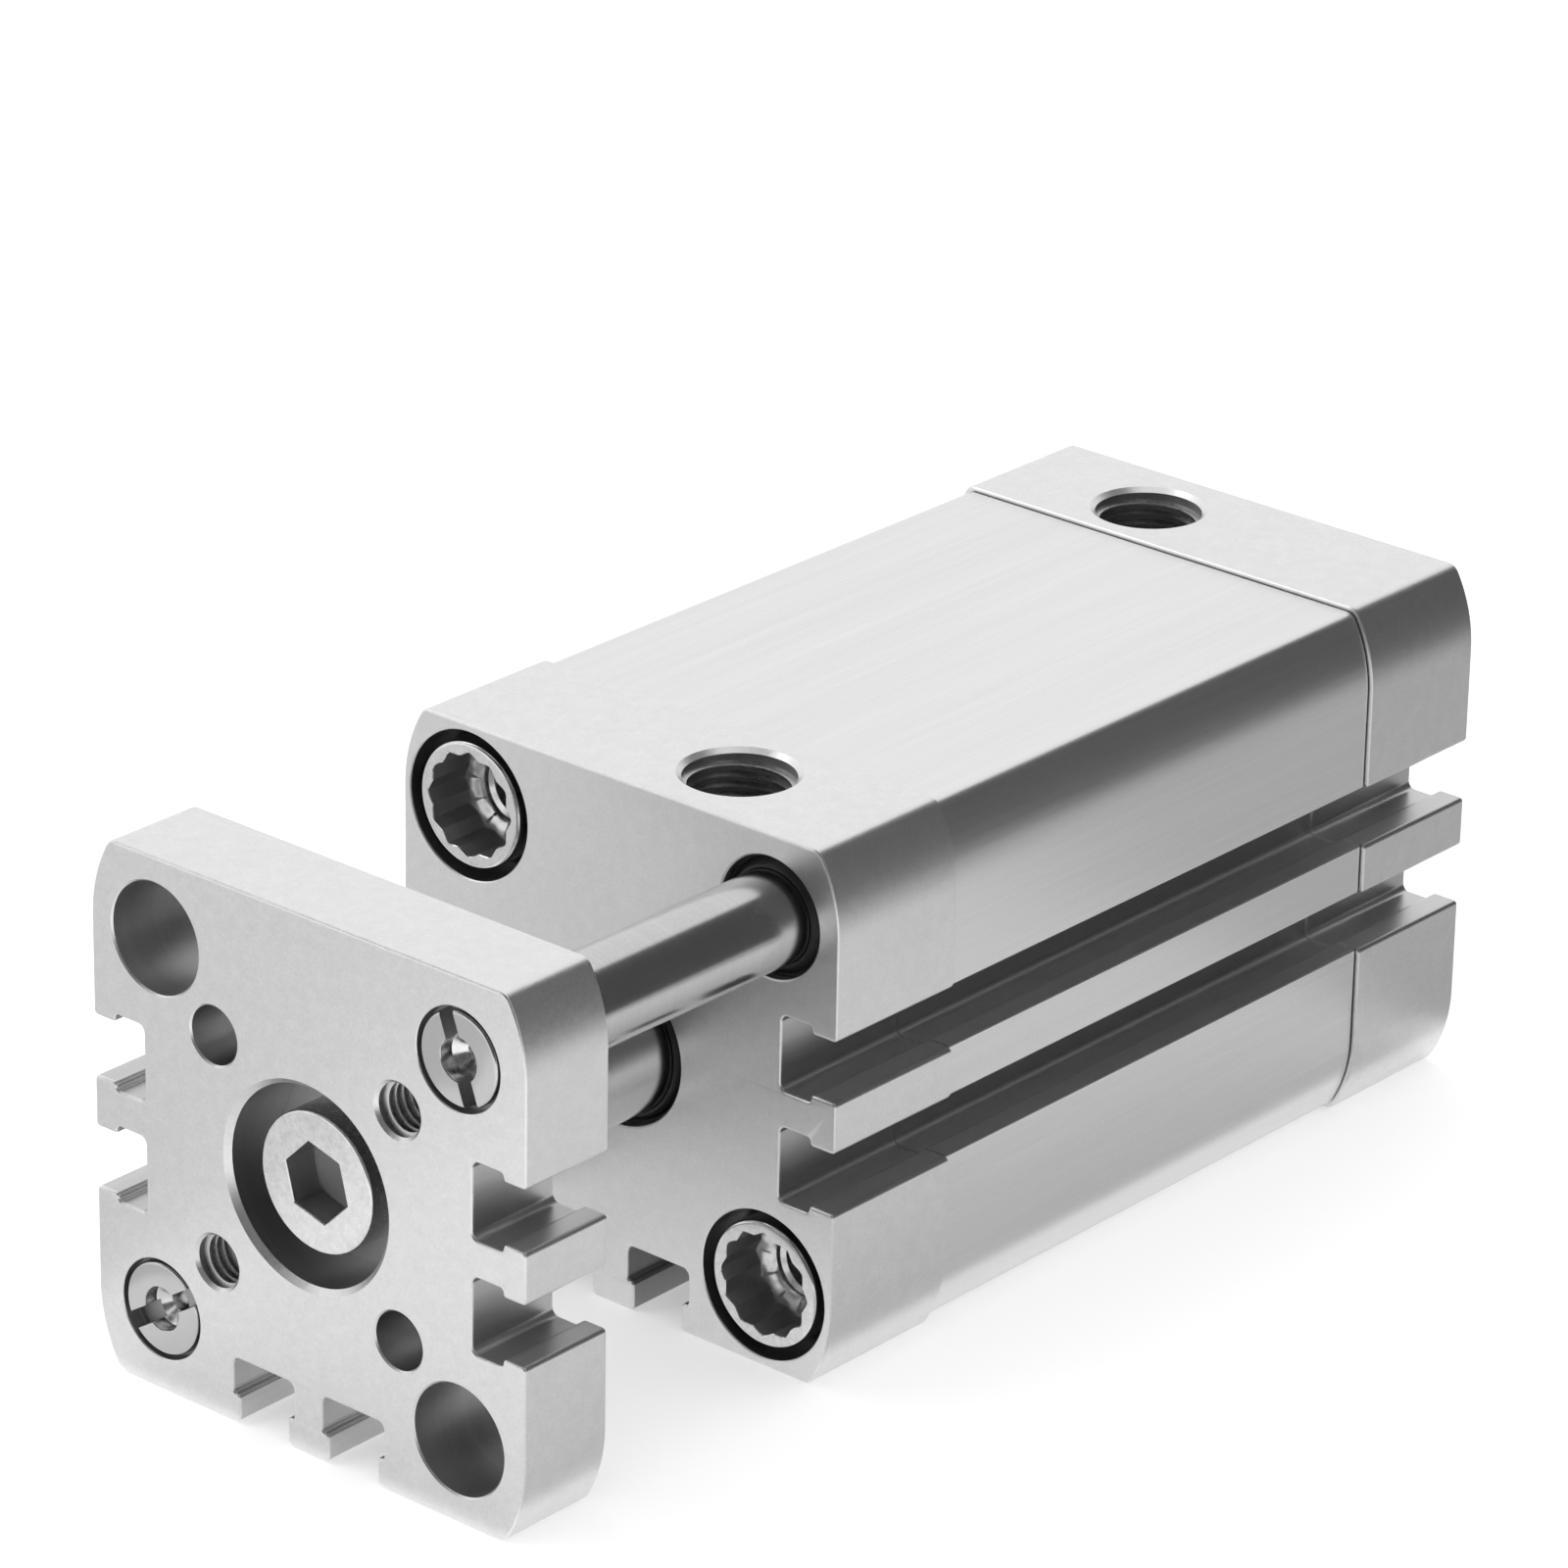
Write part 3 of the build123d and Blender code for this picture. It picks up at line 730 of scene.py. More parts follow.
def thread_tree() -> GrowthTree:
    """Tree that sweeps a thread's ridge round a hole, and copies it to every point it is given.

    Returns:
        The tree.
    """
    grower = GrowthTree("Internal thread", {
        "Major Radius": "NodeSocketFloat", "Depth": "NodeSocketFloat", "Pitch": "NodeSocketFloat",
        "Turns": "NodeSocketFloat", "Tilt": "NodeSocketVector", "Material": "NodeSocketMaterial"})
    height = grower.node("ShaderNodeMath", links={0: "Pitch", 1: "Turns"}, operation="MULTIPLY")
    helix = grower.node("GeometryNodeCurveSpiral", inputs={"Resolution": 48, "Reverse": True},
                        links={"Rotations": "Turns", "Start Radius": "Major Radius",
                               "End Radius": "Major Radius", "Height": height.outputs[0]})
    # Level normals keep the section from rolling as it is swept.
    upright = grower.node("GeometryNodeSetCurveNormal", links={"Curve": helix.outputs[0]}, mode="Z_UP")
    shares = [grower.node("ShaderNodeMath", inputs={1: factor}, links={0: size}, operation="MULTIPLY").outputs[0]
              for size, factor in (("Depth", 1.2), ("Pitch", 0.7), ("Pitch", 0.2), ("Depth", -0.4))]
    ridge = grower.node("GeometryNodeCurvePrimitiveQuadrilateral", mode="TRAPEZOID", inputs={"Offset": 0.0},
                        links=dict(zip(("Height", "Bottom Width", "Top Width"), shares)))
    shift = grower.node("ShaderNodeCombineXYZ", links={"X": shares[3]})
    section = grower.node("GeometryNodeTransform", inputs={"Rotation": (0.0, 0.0, math.pi / 2)}, links={
        "Geometry": ridge.outputs[0], "Translation": shift.outputs[0]})
    swept = grower.node("GeometryNodeCurveToMesh", inputs={"Fill Caps": True},
                        links={"Curve": upright.outputs[0], "Profile Curve": section.outputs[0]})
    tilted = grower.node("GeometryNodeTransform", links={"Geometry": swept.outputs[0], "Rotation": "Tilt"})
    copies = grower.node("GeometryNodeInstanceOnPoints",
                         links={"Points": "Geometry", "Instance": tilted.outputs[0]})
    grower.finish(copies.outputs[0])
    return grower


def copies_tree() -> GrowthTree:
    """Tree that sets a row of equal pieces at a first place and a step, each turned the same way.

    Returns:
        The tree.
    """
    grower = GrowthTree("Row of copies", {
        "First Place": "NodeSocketVector", "Step": "NodeSocketVector", "Count": "NodeSocketInt",
        "Turn": "NodeSocketVector", "Material": "NodeSocketMaterial"})
    row = grower.node("GeometryNodeMeshLine", mode="OFFSET",
                      links={"Count": "Count", "Start Location": "First Place", "Offset": "Step"})
    copies = grower.node("GeometryNodeInstanceOnPoints",
                         links={"Points": row.outputs[0], "Instance": "Geometry", "Rotation": "Turn"})
    grower.finish(copies.outputs[0])
    return grower


# finishes


def linear(colour: str) -> tuple[float, float, float, float]:
    """Linear colour of an sRGB hex value such as "#8A8A8A".

    Args:
        colour: Hex value with its hash.

    Returns:
        Red, green, blue and full opacity.
    """
    channels = [int(colour[i:i + 2], 16) / 255 for i in (1, 3, 5)]
    red, green, blue = [c / 12.92 if c <= 0.04045 else ((c + 0.055) / 1.055) ** 2.4 for c in channels]
    return red, green, blue, 1.0


def per_metre(size_mm: float) -> float:
    """Scale of a noise whose features have a size in millimetres."""
    return 1 / (size_mm * MILLIMETRE)


def new_material(name: str) -> tuple[bpy.types.Material, bpy.types.NodeTree, bpy.types.Node]:
    """Starts a node material.

    Args:
        name: Name of the material.

    Returns:
        The material, its tree and its shader.
    """
    material = bpy.data.materials.new(name)
    material.use_nodes = True
    return material, material.node_tree, material.node_tree.nodes["Principled BSDF"]


def matt_material(name: str, colour: str, roughness: float) -> bpy.types.Material:
    """Even matt paint for the studio's sheets.

    Args:
        name: Name of the material.
        colour: Its sRGB colour.
        roughness: Its roughness.

    Returns:
        The material.
    """
    material, _, shader = new_material(name)
    shader.inputs["Base Color"].default_value = linear(colour)
    shader.inputs["Roughness"].default_value = roughness
    shader.inputs["Specular IOR Level"].default_value = 0.0
    return material


@dataclass(frozen=True)
class MetalFinish:
    """Bare or anodised metal with a fine grain, tool marks and slight clouding.

    Blasting leaves pits of about 0.05 mm, and a drill leaves rings of about 0.1 mm. Both are too fine
    to show, so the grain and the marks are drawn three to five times as coarse.
    """

    name: str
    colour: str
    shade: str
    roughness: float
    roughness_spread: float
    grain_mm: float
    grain_depth_mm: float
    lay: Lay = Lay.EVEN
    mark_mm: float = 0.3
    mark_depth_mm: float = 0.0
    anisotropic: float = 0.0
    cloud_mm: float = 1.2
    cloud_share: float = 0.3

    def material(self) -> bpy.types.Material:
        """Builds the node material.

        Returns:
            The material.
        """
        material, tree, shader = new_material(self.name)
        shader.inputs["Metallic"].default_value = 1.0
        shader.inputs["Anisotropic"].default_value = self.anisotropic
        place = add_node(tree, "ShaderNodeTexCoord").outputs["Object"]
        stretch = add_node(tree, "ShaderNodeMapping", {"Scale": tuple(1 / s for s in self.lay.value)},
                           {"Vector": place}).outputs[0]
        noises = ((self.cloud_mm, 2.0, 0.5, stretch), (self.grain_mm, 2.0, 0.6, place),
                  (self.mark_mm, 3.0, 0.6, stretch))
        clouds, grain, marks = [
            add_node(tree, "ShaderNodeTexNoise", {"Scale": per_metre(size), "Detail": detail, "Roughness": roughness},
                     {"Vector": vector}).outputs["Fac"]
            for size, detail, roughness, vector in noises]
        tone = add_node(tree, "ShaderNodeMix", links={0: clouds, 2: grain, 3: marks}, data_type="FLOAT")
        mottle = add_node(tree, "ShaderNodeMix", {"Factor": self.cloud_share}, {2: tone.outputs[0], 3: clouds},
                          data_type="FLOAT")
        mixed = add_node(tree, "ShaderNodeMapRange", {"From Min": 0.35, "From Max": 0.65},
                         {"Value": mottle.outputs[0]})
        colour = add_node(tree, "ShaderNodeMix", {6: linear(self.shade), 7: linear(self.colour)},
                          {0: mixed.outputs[0]}, data_type="RGBA")
        tree.links.new(colour.outputs[2], shader.inputs["Base Color"])
        rough = add_node(tree, "ShaderNodeMapRange",
                         {"From Min": 0.3, "From Max": 0.7, "To Min": self.roughness - self.roughness_spread,
                          "To Max": self.roughness + self.roughness_spread}, {"Value": tone.outputs[0]})
        tree.links.new(rough.outputs[0], shader.inputs["Roughness"])
        fine = add_node(tree, "ShaderNodeBump", {"Strength": 1.0, "Distance": self.grain_depth_mm * MILLIMETRE},
                        {"Height": grain})
        coarse = add_node(tree, "ShaderNodeBump", {"Strength": 1.0, "Distance": self.mark_depth_mm * MILLIMETRE},
                          {"Height": marks, "Normal": fine.outputs[0]})
        tree.links.new(coarse.outputs[0], shader.inputs["Normal"])
        return material


@dataclass(frozen=True)
class MouldedFinish:
    """Rubber or plastic from a mould, with a fine matt grain and dust-pale high spots."""

    name: str
    colour: str
    bloom: str
    roughness: float
    roughness_spread: float = 0.08
    grain_mm: float = 0.25
    grain_depth_mm: float = 0.01
    patch_mm: float = 3.0

    def material(self) -> bpy.types.Material:
        """Builds the node material.

        Returns:
            The material.
        """
        material, tree, shader = new_material(self.name)
        place = add_node(tree, "ShaderNodeTexCoord").outputs["Object"]
        grain, patches = [
            add_node(tree, "ShaderNodeTexNoise", {"Scale": per_metre(size), "Detail": detail},
                     {"Vector": place}).outputs["Fac"]
            for size, detail in ((self.grain_mm, 4.0), (self.patch_mm, 3.0))]
        share = add_node(tree, "ShaderNodeMapRange", {"From Min": 0.4, "From Max": 0.75}, {"Value": patches})
        colour = add_node(tree, "ShaderNodeMix", {6: linear(self.colour), 7: linear(self.bloom)},
                          {0: share.outputs[0]}, data_type="RGBA")
        tree.links.new(colour.outputs[2], shader.inputs["Base Color"])
        rough = add_node(tree, "ShaderNodeMapRange", {"To Min": self.roughness - self.roughness_spread,
                                                      "To Max": self.roughness + self.roughness_spread},
                         {"Value": grain})
        tree.links.new(rough.outputs[0], shader.inputs["Roughness"])
        bump = add_node(tree, "ShaderNodeBump", {"Strength": 1.0, "Distance": self.grain_depth_mm * MILLIMETRE},
                        {"Height": grain})
        tree.links.new(bump.outputs[0], shader.inputs["Normal"])
        return material


class Finishes:
    """Every finish of the part, made once."""

    def __init__(self) -> None:
        """Builds the materials."""
        # Milled block, fine blasted and clear anodised: pale silver with a sandy sparkle.
        self.cap = MetalFinish("Blasted anodised aluminium", "#ECECEC", "#E0E0E0", 0.36, 0.04, 0.28, 0.006).material()
        # Extrusion with the die's faint lines along its length, clear anodised: smoother than the caps.
        self.barrel = MetalFinish("Extruded anodised aluminium", "#EAEAEA", "#E0E0E0", 0.32, 0.03, 0.3, 0.002,
                                  Lay.ALONG_AXIS, 0.35, 0.003).material()
        # Plate sawn from the extrusion and faced with a mill, then anodised: as pale, with a slightly deeper grain.
        self.plate = MetalFinish("Milled anodised aluminium", "#ECECEC", "#E0E0E0", 0.36, 0.05, 0.25,
                                 0.008).material()
        # Drilled walls: the tool's fine rings, in a dark grey that paints the shade inside holes, ports, sockets and
        # driver slots.
        self.bore = MetalFinish("Drilled anodised wall with painted shade", "#B0B0B0", "#A2A2A2", 0.5, 0.04, 0.3, 0.001,
                                Lay.ACROSS, 0.25, 0.0012).material()
        # Reamed and counterbored walls: smoother than a drilled one, with a soft light streak, in a grey that paints
        # lighter shade inside counterbores and dowel holes.
        self.reamed_shade = MetalFinish("Reamed anodised wall with painted shade", "#C2C2C2", "#B6B6B6", 0.34, 0.04, 0.3, 0.001,
                                  Lay.ACROSS, 0.25, 0.0008).material()
        # Flanks that the tap cut: bright, with a slight tear along the cut.
        self.tapped = MetalFinish("Tapped anodised flank", "#DADADA", "#C8C8C8", 0.3, 0.05, 0.25, 0.002).material()
        # Slot walls as the die left them, in a darker grey that paints the shade inside the T-slots.
        self.slot = MetalFinish("Extruded slot wall with painted shade", "#D2D2D2", "#C6C6C6", 0.34, 0.03, 0.3, 0.002,
                                Lay.ALONG_AXIS, 0.35, 0.003).material()
        # Ground and hard chromed bar: dark, smooth reflections with grinding rings too fine to count.
        self.rod = MetalFinish("Ground hard chrome", "#CCCCCC", "#C2C2C2", 0.19, 0.02, 0.3, 0.0,
                               Lay.ACROSS, 0.35, 0.0002, 0.2).material()
        # Turned steel with bright zinc: cool and a little mottled.
        self.screw = MetalFinish("Turned zinc plated steel", "#EAEAEA", "#D4D4D4", 0.2, 0.05, 0.4, 0.002).material()
        # Cold-headed socket screw with a bright plated head: white, with broad soft patches.
        self.head = MetalFinish("Cold headed plated steel", "#F0F0F0", "#DCDCDC", 0.25, 0.04, 0.6, 0.003).material()
        # Turned pieces of the piston: bright, with fine rings.
        self.piston = MetalFinish("Turned aluminium", "#D5D5D6", "#C2C2C4", 0.3, 0.05, 0.3, 0.002,
                                  Lay.ACROSS, 0.3, 0.004).material()
        # Rubber from a mould: black, with a soft sheen and a trace of dust.
        self.rubber = MouldedFinish("Moulded black rubber", "#0C0C0C", "#1B1B1B", 0.5).material()
        # Bearing polymer filled with carbon: dark grey and matt.
        self.polymer = MouldedFinish("Filled bearing polymer", "#3A3A38", "#4A4A47", 0.55).material()
        # Polyurethane from a mould: tan, with a waxy sheen.
        self.cushion = MouldedFinish("Moulded polyurethane", "#6B5A3C", "#7C6A49", 0.45).material()
        # Magnet powder pressed in plastic: brown black and dull.
        self.magnet = MouldedFinish("Plastic bonded magnet", "#2A2725", "#383431", 0.6).material()

    def recess_shade(self, zone: Callable[[Vector], Zone]) -> PaintedRecessShade:
        """Darker finishes that paint shade into a piece's holes, slots and sockets."""
        return PaintedRecessShade({Zone.DEEP_SHADE: self.bore, Zone.SLOT_SHADE: self.slot, Zone.SOFT_SHADE: self.reamed_shade}, zone)


# sub-assemblies


def point_mesh(places: Iterable[Point3]) -> bpy.types.Mesh:
    """Mesh of loose points, for a tree that copies something to each of them.

    Args:
        places: The points.

    Returns:
        The mesh.
    """
    mesh = bpy.data.meshes.new("Places")
    mesh.from_pydata(list(places), [], [])
    return mesh


class Heading(Enum):
    """Ways that a threaded hole can face, as a turn of a ridge that stands along Z."""

    INTO_PART = (-math.pi / 2, 0.0, 0.0)
    TOWARDS_YOKE = (math.pi / 2, 0.0, 0.0)
    UPWARDS = (0.0, 0.0, 0.0)


@dataclass(frozen=True)
class ThreadSize:
    """Internal thread and the countersink at its mouth, all but the pitch as radii and depths."""

    major: float
    minor: float
    pitch: float
    mouth: float = 0.0
    throat: float = 0.0
    bevel: float = 0.0
    run_in: float = 0.2

    def entry(self, face: float, inward: int) -> list[Point2]:
        """Walls of a hole from its countersunk mouth to the start of its thread.

        Args:
            face: Station of the face.
            inward: +1 or -1, the way that the hole runs.

        Returns:
            (radius, station) pairs from the face inwards.
        """
        start = face + inward * (self.bevel + self.run_in)
        return [(self.mouth, face), (self.throat, face + inward * self.bevel), (self.major, start)]

    def ridges(self, grower: GrowthTree, turns: float, heading: Heading, places: Iterable[Point3],
               material: bpy.types.Material) -> bpy.types.Mesh:
        """Ridges that the tap leaves in equal holes.

        Args:
            grower: Tree that sweeps a thread.
            turns: Turns of the thread.
            heading: Way that the holes face.
            places: Where the thread starts in each hole.
            material: Finish of the flanks.

        Returns:
            All the ridges as one mesh.
        """
        return grower.grow(point_mesh(places), Major_Radius=self.major, Depth=self.major - self.minor,
                           Pitch=self.pitch, Turns=turns, Tilt=heading.value, Material=material)


PORT_THREAD = ThreadSize(4.86, 4.285, 0.907, 5.16, 4.7, 0.4)
M6_THREAD = ThreadSize(2.96, 2.5, 1.0, 3.05, 2.65, 0.4)
M5_THREAD = ThreadSize(2.46, 2.08, 0.8, 2.54, 2.24, 0.3)


@dataclass(frozen=True)
class RodFit:
    """Mouth, wiper groove and bush seat of a rod, as steps over its radius and depths behind the front face."""

    rod: float
    mouth_step: float
    groove_step: float
    groove_start: float
    groove_end: float
    bush_step: float = 1.03


PISTON_ROD_FIT = RodFit(6.0, 1.1, 2.8, 1.0, 4.0)
GUIDE_ROD_FIT = RodFit(4.0, 1.2, 2.1, 0.9, 3.4)


@dataclass
class Layout:
    """Stations along the axis and places of the holes, shared by every sub-assembly."""

    rear_seam: float = -14.5
    front_seam: float = -69.5
    front_face: float = -84.0
    yoke_back: float = -110.5
    yoke_front: float = -119.8
    corner: float = 16.25
    inner: float = 14 * math.sqrt(0.5)

    def guide_axes(self) -> tuple[Point2, Point2]:
        """Upper right and lower left corner axes: guide rods in front, screws behind."""
        return (self.corner, self.corner), (-self.corner, -self.corner)

    def screw_axes(self) -> tuple[Point2, Point2]:
        """Upper left and lower right corner axes: screws in front, tapped holes behind."""
        return (-self.corner, self.corner), (self.corner, -self.corner)

    def corners(self) -> tuple[Point2, ...]:
        """All four corner axes, row by row from the top."""
        (upper_right, lower_left), (upper_left, lower_right) = self.guide_axes(), self.screw_axes()
        return upper_right, upper_left, lower_right, lower_left


def rounded_edge(radius: float, face: float, inward: int, size: float, steps: int = 4) -> list[Point2]:
    """Rounded outer edge of a turned piece.

    Args:
        radius: Radius of the side.
        face: Station of the face.
        inward: +1 where the piece runs to +Y from the face, -1 where it runs to -Y.
        size: Radius of the edge.
        steps: Chords of the edge.

    Returns:
        (radius, station) pairs from the face to the side.
    """
    turns = arc((radius - size, size), size, -math.pi / 2, 0, steps)
    return [(r, face + inward * depth) for r, depth in turns]


def mouth(radius: float, face: float, inward: int, size: float = 0.15) -> list[Point2]:
    """Broken edge of a hole, at 45 degrees.

    Args:
        radius: Radius of the hole.
        face: Station of the face.
        inward: +1 where the hole runs to +Y, -1 where it runs to -Y.
        size: Size of the broken edge.

    Returns:
        (radius, station) pairs from the face inwards.
    """
    return [(radius + size, face), (radius, face + inward * size)]


@dataclass
class Housing:
    """Bearing cap, barrel and end cap."""

    layout: Layout
    finishes: Finishes
    threads: GrowthTree
    extrusion: GrowthTree
    port_offset: float = 6.3
    port_from_end: float = 7.7
    port_depth: float = 12.0
    port_turns: float = 11.86
    screw_seat: float = 6.5
    seat_depth: float = 7.0
    clearance_hole: float = 4.9
    locating_bore: float = 4.5
    locating_depth: float = 2.1
    tapped_depth: float = 11.5
    drill_depth: float = 13.0
    thread_start: float = 1.1
    thread_turns: float = 10.0
    joint_gap: float = 0.15
    barrel_half_width: float = 23.1
    barrel_bore: float = 16.0
    corner_channel: float = 4.5

    def ports(self) -> tuple[Point2, Point2]:
        """Places of the front port and the rear port, as x and y."""
        front_y = self.layout.front_face + self.port_from_end
        return (self.port_offset, front_y), (-self.port_offset, -self.port_from_end)

    def port(self, place: Point2) -> Bore:
        """Port sunk from the top face, with its countersink.

        Args:
            place: Its x and y.

        Returns:
            The hole, its stations being heights.
        """
        top = Profile().half_width
        return Bore(place, (*PORT_THREAD.entry(top, -1), (PORT_THREAD.major, top - self.port_depth)))

    def seat(self, centre: Point2, face: float, inward: int, seam: float) -> Bore:
        """Counterbore and clearance hole of a collar screw.

        Args:
            centre: Axis of the screw.
            face: Station of the cap's outer face.
            inward: +1 or -1, the way that the hole runs.
            seam: Station of the cap's inner face.

        Returns:
            The hole.
        """
        floor = face + inward * self.seat_depth
        walls = [*mouth(self.screw_seat, face, inward, 0.1), (self.screw_seat, floor),
                 (self.clearance_hole, floor), (self.clearance_hole, seam)]
        return Bore(centre, tuple(walls), Zone.SOFT_SHADE)

    def passage(self, centre: Point2, fit: RodFit) -> Bore:
        """Mouth, wiper groove and bush seat of a rod.

        Args:
            centre: Axis of the rod.
            fit: Sizes of the passage.

        Returns:
            The hole.
        """
        face = self.layout.front_face
        opening, groove, bush = (fit.rod + step for step in (fit.mouth_step, fit.groove_step, fit.bush_step))
        start, end = face + fit.groove_start, face + fit.groove_end
        walls = [*mouth(opening, face, 1, 0.14), (opening, start), (groove, start), (groove, end), (bush, end),
                 (bush, self.layout.front_seam)]
        return Bore(centre, tuple(walls))

    def bearing_cap(self) -> None:
        """Front block with its rod passages, screw seats and port."""
        at = self.layout
        bores = [self.passage((0.0, 0.0), PISTON_ROD_FIT)]
        bores += [self.passage(centre, GUIDE_ROD_FIT) for centre in at.guide_axes()]
        bores += [self.seat(centre, at.front_face, 1, at.front_seam) for centre in at.screw_axes()]
        block = Block(Profile(left_slots=False), at.front_face, at.front_seam, tuple(bores),
                      (self.port(self.ports()[0]),))
        settle("bearing_cap_block", block.skin(), self.finishes.cap, Body.HOUSING,
               ["bearing_cap"], self.finishes.recess_shade(block.zone))

    def barrel(self) -> None:
        """Extruded tube, drawn out by its tree from flat outlines."""
        at = self.layout
        shape = Profile(half_width=self.barrel_half_width, mouth_fillet=0.2)
        loops = [shape.loop(), arc((0, 0), self.barrel_bore, 0, 2 * math.pi, ROUND_STEPS)[:-1]]
        loops += [arc(c, self.corner_channel, 0, 2 * math.pi, ROUND_STEPS // 2)[:-1] for c in at.corners()]
        points: list[Point3] = []
        edges: list[tuple[int, int]] = []
        for loop in loops:
            start, count = len(points), len(loop)
            points += [(x, z, 0.0) for x, z in loop]
            edges += [(start + i, start + (i + 1) % count) for i in range(count)]
        flat = bpy.data.meshes.new("Barrel outlines")
        flat.from_pydata(points, edges, [])
        mesh = self.extrusion.grow(flat, Length=at.rear_seam - at.front_seam, Rear_Station=at.rear_seam,
                                   Material=self.finishes.barrel)

        def zone(point: Vector) -> Zone:
            """Slot walls, which get painted shade, and the outside."""
            return Zone.SLOT_SHADE if shape.in_slot(point.x, point.z) else Zone.OUTSIDE

        settle("barrel_extrusion", mesh, self.finishes.barrel, Body.HOUSING,
               ["cylinder_barrel"], self.finishes.recess_shade(zone))

    def end_cap(self) -> None:
        """Rear block with its screw seats, tapped holes, locating bore and port."""
        at = self.layout
        seam = at.rear_seam + self.joint_gap
        bores = [self.seat(centre, 0.0, -1, seam) for centre in at.guide_axes()]
        tapped = (*M6_THREAD.entry(0.0, -1), (M6_THREAD.major, -self.tapped_depth), (0.0, -self.drill_depth))
        bores += [Bore(centre, tapped) for centre in at.screw_axes()]
        bores.append(Bore((0.0, 0.0), (*mouth(self.locating_bore, 0.0, -1, 0.1),
                                       (self.locating_bore, -self.locating_depth))))
        block = Block(Profile(), seam, 0.0, tuple(bores), (self.port(self.ports()[1]),))
        settle("end_cap_block", block.skin(), self.finishes.cap, Body.HOUSING, ["end_cap"],
               self.finishes.recess_shade(block.zone))
        ridges = M6_THREAD.ridges(self.threads, self.thread_turns, Heading.TOWARDS_YOKE,
                                  [(x, -self.thread_start, z) for x, z in at.screw_axes()], self.finishes.cap)
        settle("rear_tapped_threads", ridges, self.finishes.cap, Body.HOUSING)

    def port_threads(self) -> None:
        """Pipe threads of both ports."""
        lowest = Profile().half_width - self.port_depth + 0.3
        ridges = PORT_THREAD.ridges(self.threads, self.port_turns, Heading.UPWARDS,
                                    [(x, y, lowest) for x, y in self.ports()], self.finishes.tapped)
        settle("port_threads", ridges, self.finishes.tapped, Body.HOUSING)

    def build(self) -> None:
        """Builds and dresses the whole housing."""
        self.bearing_cap()
        self.barrel()
        self.end_cap()
        self.port_threads()


@dataclass
class CollarScrews:
    """Four collar screws with a 12-point socket and a female thread at its bottom."""

    layout: Layout
    finishes: Finishes
    threads: GrowthTree
    copies: GrowthTree
    head_radius: float = 5.5
    collar_radius: float = 6.3
    head_height: float = 6.9
    collar_height: float = 1.4
    shank_radius: float = 4.47
    length: float = 23.9
    tip_bevel: float = 0.7
    head_round: float = 0.35
    recess: float = 0.1
    across_flats: float = 8.1
    socket_tip: float = 4.6
    socket_depth: float = 4.4
    socket_bevel: float = 0.07
    cone_mouth: float = 3.3
    thread_depth: float = 12.1
    drill_depth: float = 13.1
    thread_start: float = 0.9
    thread_turns: float = 10.0

    def screw(self) -> Skin:
        """One screw, its head's face at the origin and its shank along +Y.

        Returns:
            Its surface.
        """
        star = star_rim(self.across_flats, self.socket_tip)
        shank, collar, head = self.shank_radius, self.collar_radius, self.head_radius
        seat, socket, bevel = self.head_height, self.socket_depth, self.socket_bevel
        step = seat - self.collar_height
        return turned([
            (0, self.length), (shank - self.tip_bevel, self.length), (shank, self.length - self.tip_bevel),
            (shank, seat), (collar - 0.15, seat), (collar, seat - 0.15), (collar, step + 0.2), (collar - 0.2, step),
            (head, step), *reversed(rounded_edge(head, 0.0, 1, self.head_round)),
            (lambda angle: star(angle) + bevel, 0.0), (star, bevel), (star, socket),
            (self.cone_mouth, socket + 0.3), (M6_THREAD.major, socket + 0.6),
            (M6_THREAD.major, socket + self.thread_depth), (0, socket + self.drill_depth),
        ])

    def pair(self, end: str, face: float, inward: int, axes: tuple[Point2, Point2]) -> None:
        """Places two screws with their threads.

        Args:
            end: Which end of the housing, for the names.
            face: Station of the heads.
            inward: +1 or -1, the way that the screws point.
            axes: Axes of the two screws.
        """
        first, last = axes
        mesh = self.copies.grow(
            self.screw().mesh("Collar screw"), First_Place=(first[0], face, first[1]),
            Step=(last[0] - first[0], 0.0, last[1] - first[1]), Count=2,
            Turn=(0.0, 0.0, 0.0 if inward > 0 else math.pi), Material=self.finishes.screw)

        def zone(point: Vector) -> Zone:
            """Socket walls get the same painted shade as the holes."""
            near = min(math.hypot(point.x - x, point.z - z) for x, z in axes) < self.socket_tip
            return Zone.DEEP_SHADE if near and 0.15 < abs(point.y - face) < self.socket_depth - 0.1 else Zone.OUTSIDE

        settle(f"{end}_collar_screw_pair", mesh, self.finishes.screw, Body.HOUSING,
               [f"{end}_collar_screws"], self.finishes.recess_shade(zone))
        start = face + inward * (self.socket_depth + self.thread_start)
        heading = Heading.INTO_PART if inward > 0 else Heading.TOWARDS_YOKE
        ridges = M6_THREAD.ridges(self.threads, self.thread_turns, heading, [(x, start, z) for x, z in axes],
                                  self.finishes.screw)
        settle(f"{end}_collar_screw_threads", ridges, self.finishes.screw, Body.HOUSING)

    def build(self) -> None:
        """Places the front pair and the rear pair."""
        at = self.layout
        self.pair("front", at.front_face + self.recess, 1, at.screw_axes())
        self.pair("rear", -self.recess, -1, at.guide_axes())


